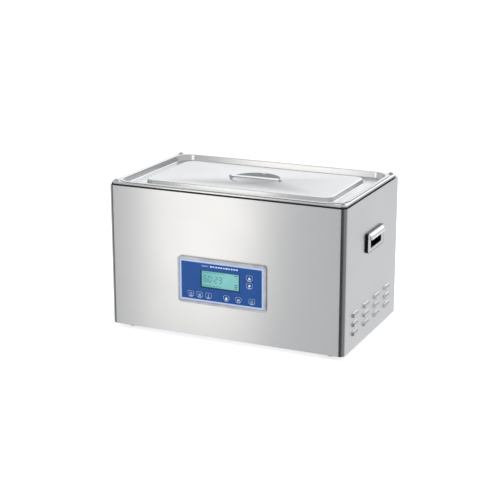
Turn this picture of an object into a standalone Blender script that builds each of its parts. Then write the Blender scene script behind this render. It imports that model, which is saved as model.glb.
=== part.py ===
"""Bench-top ultrasonic cleaning bath: a stainless casing round a deep pressed tank, a lift-off pan lid,
a key panel on the front, hooded carrying grips, transducers and a generator below the tank, a drain valve.

Metres, +Z up. The origin is the centre of the bounding box at the height of the feet's soles.
Most pieces hang on empties that stand on the casing's faces: there, X runs along the face, Y up it,
and Z straight out of it, with zero height at the casing's lower edge.
"""

from math import cos, pi, radians, sin

import bmesh
import bpy
from mathutils import Matrix, Vector

# ---- driving dimensions -------------------------------------------------------------------------
CASE_W = 0.530
CASE_D = 0.322
CASE_H = 0.304
CASE_CORNER = 0.012  # outer radius of the two front uprights
RETURN_FLANGE = 0.014  # the sides fold in this far at the rear
SHEET = 0.0012
GAP = 0.0003  # between pieces that rest on each other
FOOT_H = 0.010

DECK_TOP = CASE_H + 0.0075
DECK_ROLL = 0.004  # radius of the deck's turned-down rim
DECK_SKIRT = DECK_TOP - DECK_ROLL  # its lower edge
DECK_INSET = 0.002
TANK_W = 0.503
TANK_D = 0.303
TANK_DEPTH = 0.200
TANK_CORNER = 0.035
TANK_FILLET = 0.020
TANK_FLOOR = DECK_TOP - TANK_DEPTH - SHEET  # underside of the tank's floor

LID_SHEET = 0.0008
LID_TOP = GAP + LID_SHEET  # the flange's upper face above the deck
MOAT_DEPTH = 0.013
PANEL_DROP = 0.0033  # the lid's middle field below its flange
DISH_R = 0.053
DISH_DEPTH = 0.0145
RIVET_X = 0.0568

BEZEL_W = 0.1995
BEZEL_H = 0.0995
BEZEL_PROUD = 0.0050
BEZEL_OPEN_W = 0.1915
BEZEL_OPEN_H = 0.0890
BEZEL_NECK = (0.0948, 0.0440)  # half width and height of the part that goes through the casing
PANEL_AT = (-0.0025, 0.1210)  # centre of the key panel on the front
OVERLAY_BACK = 0.0024
OVERLAY_T = 0.0012
LCD_AT = (-0.0025, 0.0063)  # centre of the display on the key panel
LCD_SIZE = (0.0865, 0.0364)
KEY_SIZE = (0.0150, 0.0140)
KEY_FLANGE = 0.0006
KEYS = {
    "key_up": (0.0636, 0.0195),
    "key_down": (0.0636, 0.0036),
    "key_time": (-0.0695, -0.0295),
    "key_power": (-0.0489, -0.0295),
    "key_heat": (-0.0289, -0.0295),
    "key_start": (0.0118, -0.0295),
    "key_pulse": (0.0392, -0.0295),
    "key_standby": (0.0692, -0.0295),
}

HANDLE_AT = (0.010, 0.205)  # rearward of the side's middle, and height
HANDLE_SIZE = (0.099, 0.042)
HANDLE_PROUD = 0.0045
HANDLE_RIM = 0.0006  # the moulding's lip round the steel plate
POCKET = (0.0442, 0.0162)  # half width and height of the part that goes through the casing
FINGER_HALF = 0.033
FINGER_LOW = -0.0130
FINGER_HIGH = 0.0066
HOOD_HALF = 0.0455
HOOD_LIP = 0.0068
HOOD_TOP = 0.0188
HOOD_PROUD = 0.0062
HOOD_SLOPE = 0.0055

LOUVRE_COLUMNS = [-0.0975 + 0.0665 * column for column in range(4)]
LOUVRE_ROWS = [0.0350 + 0.0195 * row for row in range(3)]
LOUVRE_SIZE = (0.032, 0.0095)
LOUVRE_PROUD = 0.0040
LOUVRE_SLOPE = 0.0035
LOUVRE_CROWN = (0.0, 0.12, 0.28, 0.45, 0.60, 1.0)  # shares of the height where its section bends

STUD_INSET = 0.0125
FOOT_AT = (0.228, 0.130)
FOOT_R = 0.0105
TRANSDUCER_X = [-0.155, 0.0, 0.155]
TRANSDUCER_Y = [-0.062, 0.062]

REAR_SKIN = -0.0015  # outer face of the rear panel, just inside the return flanges
DRAIN_AT = (0.215, 0.078)  # on the rear face, seen from behind
DRAIN_TANK_Y = 0.114
VALVE_START = 0.0045
VALVE_BALL = 0.022
VALVE_END = 0.041
REAR_REACH = 0.060  # the drain nozzle's end behind the casing
FRONT_REACH = BEZEL_PROUD
LEVER_H = 0.0265
FAN_AT = (-0.150, 0.060)
INLET_AT = (0.000, 0.060)
SWITCH_AT = (0.052, 0.060)
ROCKER_REST = radians(11)

CASE_Y = (FRONT_REACH - REAR_REACH) / 2  # puts the bounding box's middle on the origin
CORNER_STEPS = 6


# ---- scene, materials and placing ---------------------------------------------------------------
def clear_scene():
    for obj in list(bpy.data.objects):
        bpy.data.objects.remove(obj)


def make_material(name, colour, roughness, metallic=0.0):
    made = bpy.data.materials.new(name)
    made.use_nodes = True
    shader = made.node_tree.nodes["Principled BSDF"]
    shader.inputs["Base Color"].default_value = (*colour, 1.0)
    shader.inputs["Roughness"].default_value = roughness
    shader.inputs["Metallic"].default_value = metallic
    return made


def make_materials():
    return {
        "brushed": make_material("brushed_steel", (0.62, 0.62, 0.63), 0.32, 1.0),
        "polished": make_material("polished_steel", (0.70, 0.70, 0.71), 0.15, 1.0),
        "zinc": make_material("zinc_plate", (0.55, 0.56, 0.57), 0.45, 1.0),
        "aluminium": make_material("aluminium", (0.72, 0.72, 0.73), 0.35, 1.0),
        "rubber": make_material("black_rubber", (0.02, 0.02, 0.02), 0.8),
        "black": make_material("black_plastic", (0.03, 0.03, 0.03), 0.45),
        "bezel": make_material("grey_plastic", (0.50, 0.50, 0.53), 0.4),
        "blue": make_material("blue_film", (0.03, 0.10, 0.36), 0.35),
        "keys": make_material("key_film", (0.05, 0.14, 0.42), 0.35),
        "lcd": make_material("lcd_glass", (0.30, 0.62, 0.62), 0.1),
        "board": make_material("circuit_board", (0.02, 0.18, 0.07), 0.5),
        "copper": make_material("copper_winding", (0.55, 0.25, 0.10), 0.4, 1.0),
        "silicone": make_material("red_silicone", (0.45, 0.09, 0.05), 0.6),
        "brass": make_material("nickelled_brass", (0.66, 0.62, 0.52), 0.3, 1.0),
        "grip": make_material("blue_vinyl", (0.02, 0.09, 0.35), 0.5),
    }


def make_faces():
    """One empty for the casing's foot and one for each of its upright faces."""
    turns = {
        "case": ((0, CASE_Y, FOOT_H), (0, 0, 0)),
        "front": ((0, CASE_Y - CASE_D / 2, FOOT_H), (pi / 2, 0, 0)),
        "rear": ((0, CASE_Y + CASE_D / 2, FOOT_H), (pi / 2, 0, pi)),
        "right": ((CASE_W / 2, CASE_Y, FOOT_H), (pi / 2, 0, pi / 2)),
        "left": ((-CASE_W / 2, CASE_Y, FOOT_H), (pi / 2, 0, -pi / 2)),
    }
    faces = {}
    for name, (place, turn) in turns.items():
        empty = bpy.data.objects.new(name + "_face", None)
        empty.location = place
        empty.rotation_euler = turn
        bpy.context.scene.collection.objects.link(empty)
        faces[name] = empty
    return faces


def add(name, bm, face, at=(0, 0, 0), material=None, smooth=None):
    """Turns a bmesh into an object on one of the faces. smooth is the angle that stays sharp, in degrees.
    Open sheets keep the sides they were drawn with, and closed shapes are turned to face outwards."""
    if all(edge.is_manifold for edge in bm.edges):
        bmesh.ops.recalc_face_normals(bm, faces=bm.faces)
    mesh = bpy.data.meshes.new(name)
    bm.to_mesh(mesh)
    bm.free()
    if smooth is not None:
        mesh.shade_smooth()
        mesh.set_sharp_from_angle(angle=radians(smooth))
    obj = bpy.data.objects.new(name, mesh)
    bpy.context.scene.collection.objects.link(obj)
    obj.parent = face
    obj.location = at
    if material is None:
        obj.hide_render = True
        obj.display_type = "WIRE"
    else:
        mesh.materials.append(material)
    return obj


def boolean(obj, tool, operation="DIFFERENCE"):
    modifier = obj.modifiers.new(operation.lower(), "BOOLEAN")
    modifier.operation = operation
    modifier.object = tool
    return obj


def thicken(obj, thickness):
    """Gives an open sheet its thickness, away from the side that its normals point to."""
    modifier = obj.modifiers.new("thickness", "SOLIDIFY")
    modifier.thickness = thickness
    modifier.offset = -1
    modifier.use_even_offset = True
    return obj


# ---- shape helpers ------------------------------------------------------------------------------
def rounded(half_x, half_y, radius, z, steps=CORNER_STEPS):
    """A rounded rectangle as a loop of points, anticlockwise."""
    loop = []
    for corner in range(4):
        centre_x = (half_x - radius) * (1, -1, -1, 1)[corner]
        centre_y = (half_y - radius) * (1, 1, -1, -1)[corner]
        for step in range(steps + 1):
            angle = (corner + step / steps) * pi / 2
            loop.append(Vector((centre_x + radius * cos(angle), centre_y + radius * sin(angle), z)))
    return loop


def circle(radius, z, count=4 * (CORNER_STEPS + 1)):
    """A circle whose points pair up with those of a rounded rectangle."""
    angles = [(i + 0.5) * 2 * pi / count for i in range(count)]
    return [Vector((radius * cos(a), radius * sin(a), z)) for a in angles]


def skin(loops, cap_start=False, cap_end=False, ring=False):
    """Faces between loops of equal length. ring joins the last loop to the first."""
    bm = bmesh.new()
    rows = [[bm.verts.new(point) for point in loop] for loop in loops]
    pairs = list(zip(rows, rows[1:]))
    if ring:
        pairs.append((rows[-1], rows[0]))
    for low, high in pairs:
        for i in range(len(low)):
            j = (i + 1) % len(low)
            bm.faces.new((low[i], low[j], high[j], high[i]))
    if cap_start:
        bm.faces.new(reversed(rows[0]))
    if cap_end:
        bm.faces.new(rows[-1])
    return bm


def lathe(profile, segments=20, axis="Z"):
    """Turns (radius, along) points round an axis. A profile that ends on the axis closes there."""
    bm = bmesh.new()
    points = [bm.verts.new((radius, 0, along)) for radius, along in profile]
    edges = [bm.edges.new(pair) for pair in zip(points, points[1:])]
    if profile[0][0] > 0:
        edges.append(bm.edges.new((points[-1], points[0])))
    turn = {"cent": (0, 0, 0), "axis": (0, 0, 1), "angle": 2 * pi}
    bmesh.ops.spin(bm, geom=points + edges, steps=segments, use_merge=True, **turn)
    bmesh.ops.remove_doubles(bm, verts=bm.verts, dist=1e-6)
    if axis == "Y":
        bmesh.ops.rotate(bm, verts=bm.verts, cent=(0, 0, 0), matrix=Matrix.Rotation(-pi / 2, 3, "X"))
    return bm


def box(bm, low, high):
    """Adds a box between two corners."""
    size = Vector(high) - Vector(low)
    place = Matrix.Translation((Vector(low) + Vector(high)) / 2)
    made = bmesh.ops.create_cube(bm, size=1, matrix=place @ Matrix.Diagonal((*size, 1)))
    return made["verts"]


def cylinder(bm, radius, low, high, at=(0, 0), segments=16):
    """Adds an upright cylinder over a point."""
    place = Matrix.Translation((at[0], at[1], (low + high) / 2))
    size = {"radius1": radius, "radius2": radius, "depth": high - low}
    bmesh.ops.create_cone(bm, cap_ends=True, segments=segments, matrix=place, **size)


def prism(outline, low, high):
    """A closed outline in the XY plane, drawn up from low to high."""
    bm = bmesh.new()
    face = bm.faces.new([bm.verts.new((x, y, low)) for x, y in outline])
    raised = bmesh.ops.extrude_face_region(bm, geom=[face])
    moved = [v for v in raised["geom"] if isinstance(v, bmesh.types.BMVert)]
    bmesh.ops.translate(bm, verts=moved, vec=(0, 0, high - low))
    return bm


def hood(bm, half, crown, slope, back=0.0):
    """Adds a pressed hood that opens downwards. crown is its section as (height, proud) pairs, from the
    flush top to the lip, and its ends slope in as it stands prouder."""
    deepest = max(proud for _, proud in crown)
    outer = []
    for height, proud in crown:
        reach = half - slope * proud / deepest
        outer.append([bm.verts.new((sign * reach, height, proud)) for sign in (-1, 1)])
    wall, behind = [outer[0]], []
    for height, _ in crown[1:]:
        wall.append([bm.verts.new((sign * half, height, 0)) for sign in (-1, 1)])
    for height, _ in (crown[0], crown[-1]):
        behind.append([bm.verts.new((sign * half, height, -back)) for sign in (-1, 1)])
    for (a, b), (c, d) in zip(outer, outer[1:]):
        bm.faces.new((a, b, d, c))
    for side in (0, 1):
        for i in range(len(crown) - 1):
            corners = [wall[i][side], outer[i][side], outer[i + 1][side], wall[i + 1][side]]
            bm.faces.new(list(dict.fromkeys(corners)))
        bm.faces.new([behind[0][side]] + [pair[side] for pair in wall] + [behind[1][side]])
    bm.faces.new((outer[-1][0], outer[-1][1], wall[-1][1], wall[-1][0]))
    bm.faces.new((wall[-1][0], wall[-1][1], behind[1][1], behind[1][0]))
    bm.faces.new((wall[0][0], wall[0][1], behind[0][1], behind[0][0]))
    bm.faces.new((behind[0][0], behind[0][1], behind[1][1], behind[1][0]))


# ---- casing -------------------------------------------------------------------------------------
def casing_outline(inset):
    """Half of the wrapped sheet's plan, from the rear fold round to the middle of the front."""
    x, front, rear = CASE_W / 2 - inset, -CASE_D / 2 + inset, CASE_D / 2 - inset
    radius = CASE_CORNER - inset
    points = [(CASE_W / 2 - RETURN_FLANGE, rear), (x, rear)]
    for step in range(CORNER_STEPS + 1):
        angle = -step / CORNER_STEPS * pi / 2
        points.append((x - radius + radius * cos(angle), front + radius + radius * sin(angle)))
    return points


def build_casing(faces, steel):
    def both(half):
        return half + [(-x, y) for x, y in reversed(half)]

    outline = both(casing_outline(0)) + both(casing_outline(SHEET))[::-1]
    casing = add("outer_casing", prism(outline, 0, CASE_H), faces["case"], material=steel, smooth=30)

    for side, sign in (("right", 1), ("left", -1)):
        pressed, opened = louvre_tools(faces[side], side, sign)
        boolean(boolean(casing, pressed, "UNION"), opened)
        handle_at = (sign * HANDLE_AT[0], HANDLE_AT[1], 0)
        boolean(casing, add(f"handle_window_{side}", window(POCKET, 0.0008), faces[side], handle_at))
    boolean(casing, add("panel_window", window(BEZEL_NECK, 0.0004), faces["front"], (*PANEL_AT, 0)))
    return casing


def window(halves, clear):
    """A block that cuts a window for a neck of that half width and height."""
    ends = [rounded(halves[0] + clear, halves[1] + clear, 0.004, z, 3) for z in (-0.01, 0.01)]
    return skin(ends, True, True)


def louvre_section(top, low, proud):
    """A quarter wave down to the fullest part, and then straight on to the lip."""
    section = []
    for share in LOUVRE_CROWN:
        bulge = sin(pi / 2 * min(1, share / LOUVRE_CROWN[-2]))
        section.append((top - share * (top - low), proud * bulge))
    return section


def louvre_tools(face, side, sign):
    """The louvres' hoods, and the slightly smaller hollows that open them downwards."""
    half, high, proud = LOUVRE_SIZE[0] / 2, LOUVRE_SIZE[1] / 2, LOUVRE_PROUD
    hollow = louvre_section(high - 0.0016, -high - 0.0005, proud - SHEET * 0.8)
    crowns = {
        "hoods": (half, louvre_section(high, -high, proud), SHEET / 2),
        "hollows": (half - SHEET, hollow, 2 * SHEET),
    }
    tools = []
    for name, (reach, crown, back) in crowns.items():
        bm = bmesh.new()
        for column in LOUVRE_COLUMNS:
            for row in LOUVRE_ROWS:
                before = len(bm.verts)
                hood(bm, reach, crown, LOUVRE_SLOPE, back)
                bmesh.ops.translate(bm, verts=list(bm.verts)[before:], vec=(sign * column, row, 0))
        tools.append(add(f"louvre_{name}_{side}", bm, face))
    return tools


def build_rear_panel(faces, steel):
    half, clear = CASE_W / 2 - SHEET - 0.0006, 0.0006
    bm = bmesh.new()
    box(bm, (-half, clear, REAR_SKIN - SHEET), (half, CASE_H - clear, REAR_SKIN))
    panel = add("rear_panel", bm, faces["rear"], material=steel)
    bm = bmesh.new()
    cylinder(bm, 0.0125, -0.01, 0.01, DRAIN_AT, 24)
    for (x, y), wide in ((INLET_AT, 0.0143), (SWITCH_AT, 0.0073)):
        box(bm, (x - wide, y - 0.0103, -0.01), (x + wide, y + 0.0103, 0.01))
    for slot in range(-4, 5):
        y = FAN_AT[1] + slot * 0.008
        reach = (0.035**2 - (slot * 0.008) ** 2) ** 0.5
        box(bm, (FAN_AT[0] - reach, y - 0.0022, -0.01), (FAN_AT[0] + reach, y + 0.0022, 0.01))
    return boolean(panel, add("rear_cutouts", bm, faces["rear"]))


def build_base(faces, zinc):
    half_x, half_y = CASE_W / 2 - SHEET - GAP, CASE_D / 2 - 0.0031
    rim, low = CASE_CORNER - SHEET, 0.0004 + SHEET
    sheet = skin([rounded(half_x - SHEET, half_y - SHEET, rim, z) for z in (0.014, low)], cap_end=True)
    base = thicken(add("base_plate", sheet, faces["case"], material=zinc), SHEET)
    bm = bmesh.new()
    for x in (-0.15, 0.15):
        for slot in range(-3, 4):
            box(bm, (x - 0.045, slot * 0.012 - 0.003, -0.01), (x + 0.045, slot * 0.012 + 0.003, 0.01))
    return boolean(base, add("base_vents", bm, faces["case"]))


def build_feet(faces, rubber):
    top = -GAP + 0.0004
    for front, sign_y in (("front", -1), ("rear", 1)):
        for side, sign_x in (("left", -1), ("right", 1)):
            profile = [(0, top), (FOOT_R, top), (FOOT_R, -0.003), (0.0088, -FOOT_H), (0, -FOOT_H)]
            at = (sign_x * FOOT_AT[0], sign_y * FOOT_AT[1], 0)
            add(f"foot_{front}_{side}", lathe(profile), faces["case"], at, rubber, 40)


# ---- tank, deck and their fixings ---------------------------------------------------------------
def stud_places():
    x, y = CASE_W / 2 - STUD_INSET, CASE_D / 2 - STUD_INSET
    return {"front_left": (-x, -y), "front_right": (x, -y), "rear_left": (-x, y), "rear_right": (x, y)}


def stud_holes(name, face):
    bm = bmesh.new()
    for place in stud_places().values():
        cylinder(bm, 0.0026, CASE_H - 0.02, CASE_H + 0.02, place, 12)
    return add(name, bm, face)


def build_tank(faces, steel, tools):
    edge_x, edge_y = CASE_W / 2 - DECK_INSET, CASE_D / 2 - DECK_INSET
    half_x, half_y, lip = TANK_W / 2, TANK_D / 2, 0.0015
    loops = []
    for step in range(5):
        angle = step / 4 * pi / 2
        pull = DECK_ROLL * (1 - cos(angle))
        height = DECK_SKIRT + DECK_ROLL * sin(angle)
        loops.append(rounded(edge_x - pull, edge_y - pull, 0.0105 - pull, height))
    loops.append(rounded(half_x + lip, half_y + lip, TANK_CORNER + lip, DECK_TOP))
    loops.append(rounded(half_x, half_y, TANK_CORNER, DECK_TOP - lip))
    for step in range(4):
        angle = step / 3 * pi / 2
        pull = TANK_FILLET * (1 - cos(angle))
        z = DECK_TOP - TANK_DEPTH + TANK_FILLET * (1 - sin(angle))
        loops.append(rounded(half_x - pull, half_y - pull, TANK_CORNER - pull, z))
    tank = add("tank", skin(loops, cap_end=True), faces["case"], material=steel, smooth=30)
    thicken(tank, SHEET)
    boolean(tank, tools["studs"])
    drain = bmesh.new()
    cylinder(drain, 0.008, TANK_FLOOR - 0.01, TANK_FLOOR + 0.01, (-DRAIN_AT[0], DRAIN_TANK_Y))
    return boolean(tank, add("drain_hole", drain, faces["case"]))


def build_top_frame(faces, zinc, tools):
    """An angle frame inside the casing's upper edge, which the deck is screwed to."""
    outer = (CASE_W / 2 - SHEET - GAP, CASE_D / 2 - 0.0031, CASE_CORNER - SHEET)
    inner = (TANK_W / 2 + SHEET + 0.0009, TANK_D / 2 + SHEET + 0.0007, TANK_CORNER + SHEET)
    shelf, leg = CASE_H - SHEET - GAP, CASE_H - 0.016
    loops = [
        rounded(*outer, CASE_H - GAP),
        rounded(*inner, CASE_H - GAP),
        rounded(*inner, shelf),
        rounded(outer[0] - SHEET, outer[1] - SHEET, outer[2] - SHEET, shelf),
        rounded(outer[0] - SHEET, outer[1] - SHEET, outer[2] - SHEET, leg),
        rounded(*outer, leg),
    ]
    return boolean(add("top_frame", skin(loops, ring=True), faces["case"], material=zinc), tools["studs"])


def build_gasket(faces, rubber):
    low, high = CASE_H + GAP, DECK_SKIRT - GAP
    outer = (CASE_W / 2 - 0.0028, CASE_D / 2 - 0.0028, 0.0097)
    inner = (CASE_W / 2 - 0.0090, CASE_D / 2 - 0.0077, 0.0060)
    loops = [rounded(*outer, low), rounded(*outer, high), rounded(*inner, high), rounded(*inner, low)]
    add("deck_gasket", skin(loops, ring=True), faces["case"], material=rubber)


def build_studs(faces, steel):
    """Domed screws at the deck's corners."""
    dome = [(0.0060 * cos(a), GAP + 0.0046 * sin(a)) for a in (0, pi / 6, pi / 3)]
    profile = [(0, GAP + 0.0046)] + dome[::-1] + [(0.0022, GAP), (0.0022, -0.016), (0, -0.016)]
    for name, place in stud_places().items():
        add(f"corner_stud_{name}", lathe(profile, 16), faces["case"], (*place, DECK_TOP), steel, 40)


# ---- lid ----------------------------------------------------------------------------------------
def build_lid(faces, steel, polished):
    floor, field = LID_TOP - MOAT_DEPTH, LID_TOP - PANEL_DROP
    loops = [
        rounded(0.2580, 0.1565, 0.0425, LID_TOP),
        rounded(0.2502, 0.1502, 0.0347, LID_TOP),
        rounded(0.2490, 0.1490, 0.0335, LID_TOP - 0.0012),
        rounded(0.2470, 0.1470, 0.0315, floor + 0.0012),
        rounded(0.2458, 0.1458, 0.0303, floor),
        rounded(0.2125, 0.1070, 0.0250, floor),
        rounded(0.2115, 0.1060, 0.0240, floor + 0.0010),
        rounded(0.2105, 0.1050, 0.0230, field - 0.0012),
        rounded(0.2092, 0.1037, 0.0217, field),
        circle(DISH_R, field),
    ]
    for share in (0.12, 0.40, 0.72, 0.93):
        loops.append(circle(DISH_R * (1 - share**2) ** 0.5, field - DISH_DEPTH * share))
    loops.append(circle(0.012, field - DISH_DEPTH))
    lid = add("lid", skin(loops, cap_end=True), faces["case"], (0, 0, DECK_TOP), steel, 35)
    thicken(lid, LID_SHEET)

    reach, tab_half, width, thickness = 0.0605, 0.0530, 0.014, 0.0012
    foot = field + GAP
    steps = 12
    spine = [(-reach, foot)]
    for step in range(steps + 1):
        x = tab_half * (2 * step / steps - 1)
        spine.append((x, foot + 0.0008 * cos(pi / 2 * x / tab_half)))
    spine.append((reach, foot))
    bm = bmesh.new()
    rows = [[bm.verts.new((x, y, z + thickness)) for y in (-width / 2, width / 2)] for x, z in spine]
    for near, far in zip(rows, rows[1:]):
        bm.faces.new((near[0], far[0], far[1], near[1]))
    strap = thicken(add("lid_strap", bm, faces["case"], (0, 0, DECK_TOP), polished, 30), thickness)

    holes = bmesh.new()
    for sign in (-1, 1):
        cylinder(holes, 0.0021, field - 0.01, field + 0.01, (sign * RIVET_X, 0), 12)
    tool = add("rivet_holes", holes, faces["case"], (0, 0, DECK_TOP))
    boolean(lid, tool)
    boolean(strap, tool)
    top, under = foot + thickness + GAP, field - LID_SHEET - GAP
    profile = [(0, top + 0.0014), (0.0022, top + 0.0010), (0.0034, top), (0.0017, top)]
    profile += [(0.0017, under), (0.0030, under), (0.0030, under - 0.0010), (0, under - 0.0010)]
    for side, sign in (("left", -1), ("right", 1)):
        place = (sign * RIVET_X, 0, DECK_TOP)
        add(f"lid_rivet_{side}", lathe(profile, 12), faces["case"], place, polished, 40)


# ---- key panel on the front ---------------------------------------------------------------------
def build_panel(faces, mats):
    at = (*PANEL_AT, 0)
    open_x, open_y = BEZEL_OPEN_W / 2, BEZEL_OPEN_H / 2
    out_x, out_y, face, ledge = BEZEL_W / 2, BEZEL_H / 2, BEZEL_PROUD, OVERLAY_BACK - GAP
    loops = [
        rounded(out_x, out_y, 0.007, GAP, 4),
        rounded(out_x, out_y, 0.007, face - 0.0014, 4),
        rounded(out_x - 0.0010, out_y - 0.0010, 0.0060, face - 0.0003, 4),
        rounded(out_x - 0.0022, out_y - 0.0022, 0.0048, face, 4),
        rounded(open_x + 0.0008, open_y + 0.0008, 0.0028, face - 0.0003, 4),
        rounded(open_x, open_y, 0.0020, face - 0.0010, 4),
        rounded(open_x, open_y, 0.0020, ledge, 4),
        rounded(open_x - 0.0025, open_y - 0.0025, 0.0015, ledge, 4),
        rounded(open_x - 0.0025, open_y - 0.0025, 0.0015, -0.0030, 4),
        rounded(*BEZEL_NECK, 0.0038, -0.0030, 4),
        rounded(*BEZEL_NECK, 0.0038, GAP, 4),
    ]
    add("panel_bezel", skin(loops, ring=True), faces["front"], at, mats["bezel"], 30)

    front = OVERLAY_BACK + OVERLAY_T
    film = [rounded(open_x - GAP, open_y - GAP, 0.0018, z, 3) for z in (OVERLAY_BACK, front)]
    overlay = add("panel_overlay", skin(film, True, True), faces["front"], at, mats["blue"])
    holes = bmesh.new()
    (lcd_at_x, lcd_at_y), lcd_x, lcd_y = LCD_AT, LCD_SIZE[0] / 2, LCD_SIZE[1] / 2
    box(holes, (lcd_at_x - lcd_x, lcd_at_y - lcd_y, -0.01), (lcd_at_x + lcd_x, lcd_at_y + lcd_y, 0.01))
    key_x, key_y = KEY_SIZE[0] / 2, KEY_SIZE[1] / 2
    for x, y in KEYS.values():
        clear_x, clear_y = key_x + GAP, key_y + GAP
        box(holes, (x - clear_x, y - clear_y, -0.01), (x + clear_x, y + clear_y, 0.01))
    boolean(overlay, add("overlay_holes", holes, faces["front"], at))

    pane = [rounded(lcd_x - GAP, lcd_y - GAP, 0.0008, z, 2) for z in (OVERLAY_BACK, front - 0.0003)]
    lcd_place = (PANEL_AT[0] + LCD_AT[0], PANEL_AT[1] + LCD_AT[1], 0)
    add("lcd_window", skin(pane, True, True), faces["front"], lcd_place, mats["lcd"])
    bm = bmesh.new()
    box(bm, (-0.047, -0.0215, -0.0036), (0.047, 0.0215, OVERLAY_BACK - GAP))
    add("lcd_module", bm, faces["front"], lcd_place, mats["black"])

    for name, (x, y) in KEYS.items():
        loops = [
            rounded(key_x - 0.0008, key_y - 0.0008, 0.0012, front + 0.0005, 2),
            rounded(key_x, key_y, 0.0015, front, 2),
            rounded(key_x, key_y, 0.0015, OVERLAY_BACK - GAP, 2),
            rounded(key_x + KEY_FLANGE, key_y + KEY_FLANGE, 0.0015, OVERLAY_BACK - GAP, 2),
            rounded(key_x + KEY_FLANGE, key_y + KEY_FLANGE, 0.0015, -0.0003, 2),
            rounded(0.0025, 0.0025, 0.0024, -0.0003, 2),
            rounded(0.0025, 0.0025, 0.0024, -0.0020, 2),
        ]
        key_place = (PANEL_AT[0] + x, PANEL_AT[1] + y, 0)
        add(name, skin(loops, True, True), faces["front"], key_place, mats["keys"])

    bm = bmesh.new()
    box(bm, (-0.088, -0.038, -0.0056), (0.088, 0.038, -0.0040))
    board = add("control_board", bm, faces["front"], at, mats["board"])
    domes = bmesh.new()
    for place in KEYS.values():
        cylinder(domes, 0.0030, -0.0048, -0.0028, place, 10)
    boolean(board, add("dome_switches", domes, faces["front"], at), "UNION")


# ---- carrying grips -----------------------------------------------------------------------------
def build_handle(face, side, sign, mats):
    """A black moulded pocket through the side's window, and a hooded steel plate let into its rim."""
    at = (sign * HANDLE_AT[0], HANDLE_AT[1], 0)
    half_x, half_y, seat = HANDLE_SIZE[0] / 2, HANDLE_SIZE[1] / 2, HANDLE_PROUD - SHEET - GAP
    loops = [
        rounded(*POCKET, 0.0032, -0.0095, 3),
        rounded(0.0446, 0.0166, 0.0036, GAP, 3),
        rounded(half_x, half_y, 0.0060, GAP, 3),
        rounded(half_x, half_y, 0.0060, HANDLE_PROUD, 3),
        rounded(half_x - HANDLE_RIM, half_y - HANDLE_RIM, 0.0051, HANDLE_PROUD, 3),
        rounded(half_x - HANDLE_RIM, half_y - HANDLE_RIM, 0.0051, seat, 3),
        rounded(0.0430, 0.0150, 0.0030, seat, 3),
        rounded(0.0422, 0.0142, 0.0025, -0.0080, 3),
    ]
    add(f"handle_pocket_{side}", skin(loops, True, True), face, at, mats["black"], 30)

    inset = HANDLE_RIM + GAP
    plate = [rounded(half_x - inset, half_y - inset, 0.0048, z, 4) for z in (seat + GAP, HANDLE_PROUD)]
    grip = add(f"handle_grip_{side}", skin(plate, True, True), face, at, mats["polished"], 30)
    rise = HOOD_TOP - HOOD_LIP
    shapes = {"hood": (0.0, SHEET / 2, "UNION"), "mouth": (SHEET, 2 * SHEET, "DIFFERENCE")}
    for name, (inset, back, operation) in shapes.items():
        deep = HOOD_PROUD - inset
        top, low = HOOD_TOP - 1.8 * inset, HOOD_LIP - inset / 2
        crown = [(top, 0), (top - 0.18 * rise, deep * 0.36), (top - 0.45 * rise, deep * 0.72), (low, deep)]
        bm = bmesh.new()
        hood(bm, HOOD_HALF - inset, crown, HOOD_SLOPE, back)
        boolean(grip, add(f"handle_{name}_{side}", bm, face, (at[0], at[1], HANDLE_PROUD)), operation)
    slot_half = (FINGER_HIGH - FINGER_LOW) / 2
    slot = skin([rounded(FINGER_HALF, slot_half, 0.003, z, 3) for z in (-0.01, 0.01)], True, True)
    place = (at[0], at[1] + FINGER_LOW + slot_half, HANDLE_PROUD)
    boolean(grip, add(f"handle_slot_{side}", slot, face, place))


# ---- below the tank -----------------------------------------------------------------------------
def build_transducers(faces, aluminium):
    """Clamped stacks glued under the tank: flared front mass, ceramic rings, back mass and bolt."""
    profile = [(0, -GAP), (0.029, -GAP), (0.029, -0.004), (0.020, -0.022), (0.019, -0.024)]
    profile += [(0.019, -0.036), (0.0205, -0.036), (0.0205, -0.050), (0.007, -0.050)]
    profile += [(0.007, -0.0545), (0, -0.0545)]
    for row, y in zip(("front", "rear"), TRANSDUCER_Y):
        for number, x in enumerate(TRANSDUCER_X, 1):
            place = (x, y, TANK_FLOOR)
            add(f"transducer_{row}_{number}", lathe(profile, 14), faces["case"], place, aluminium, 40)


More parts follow.
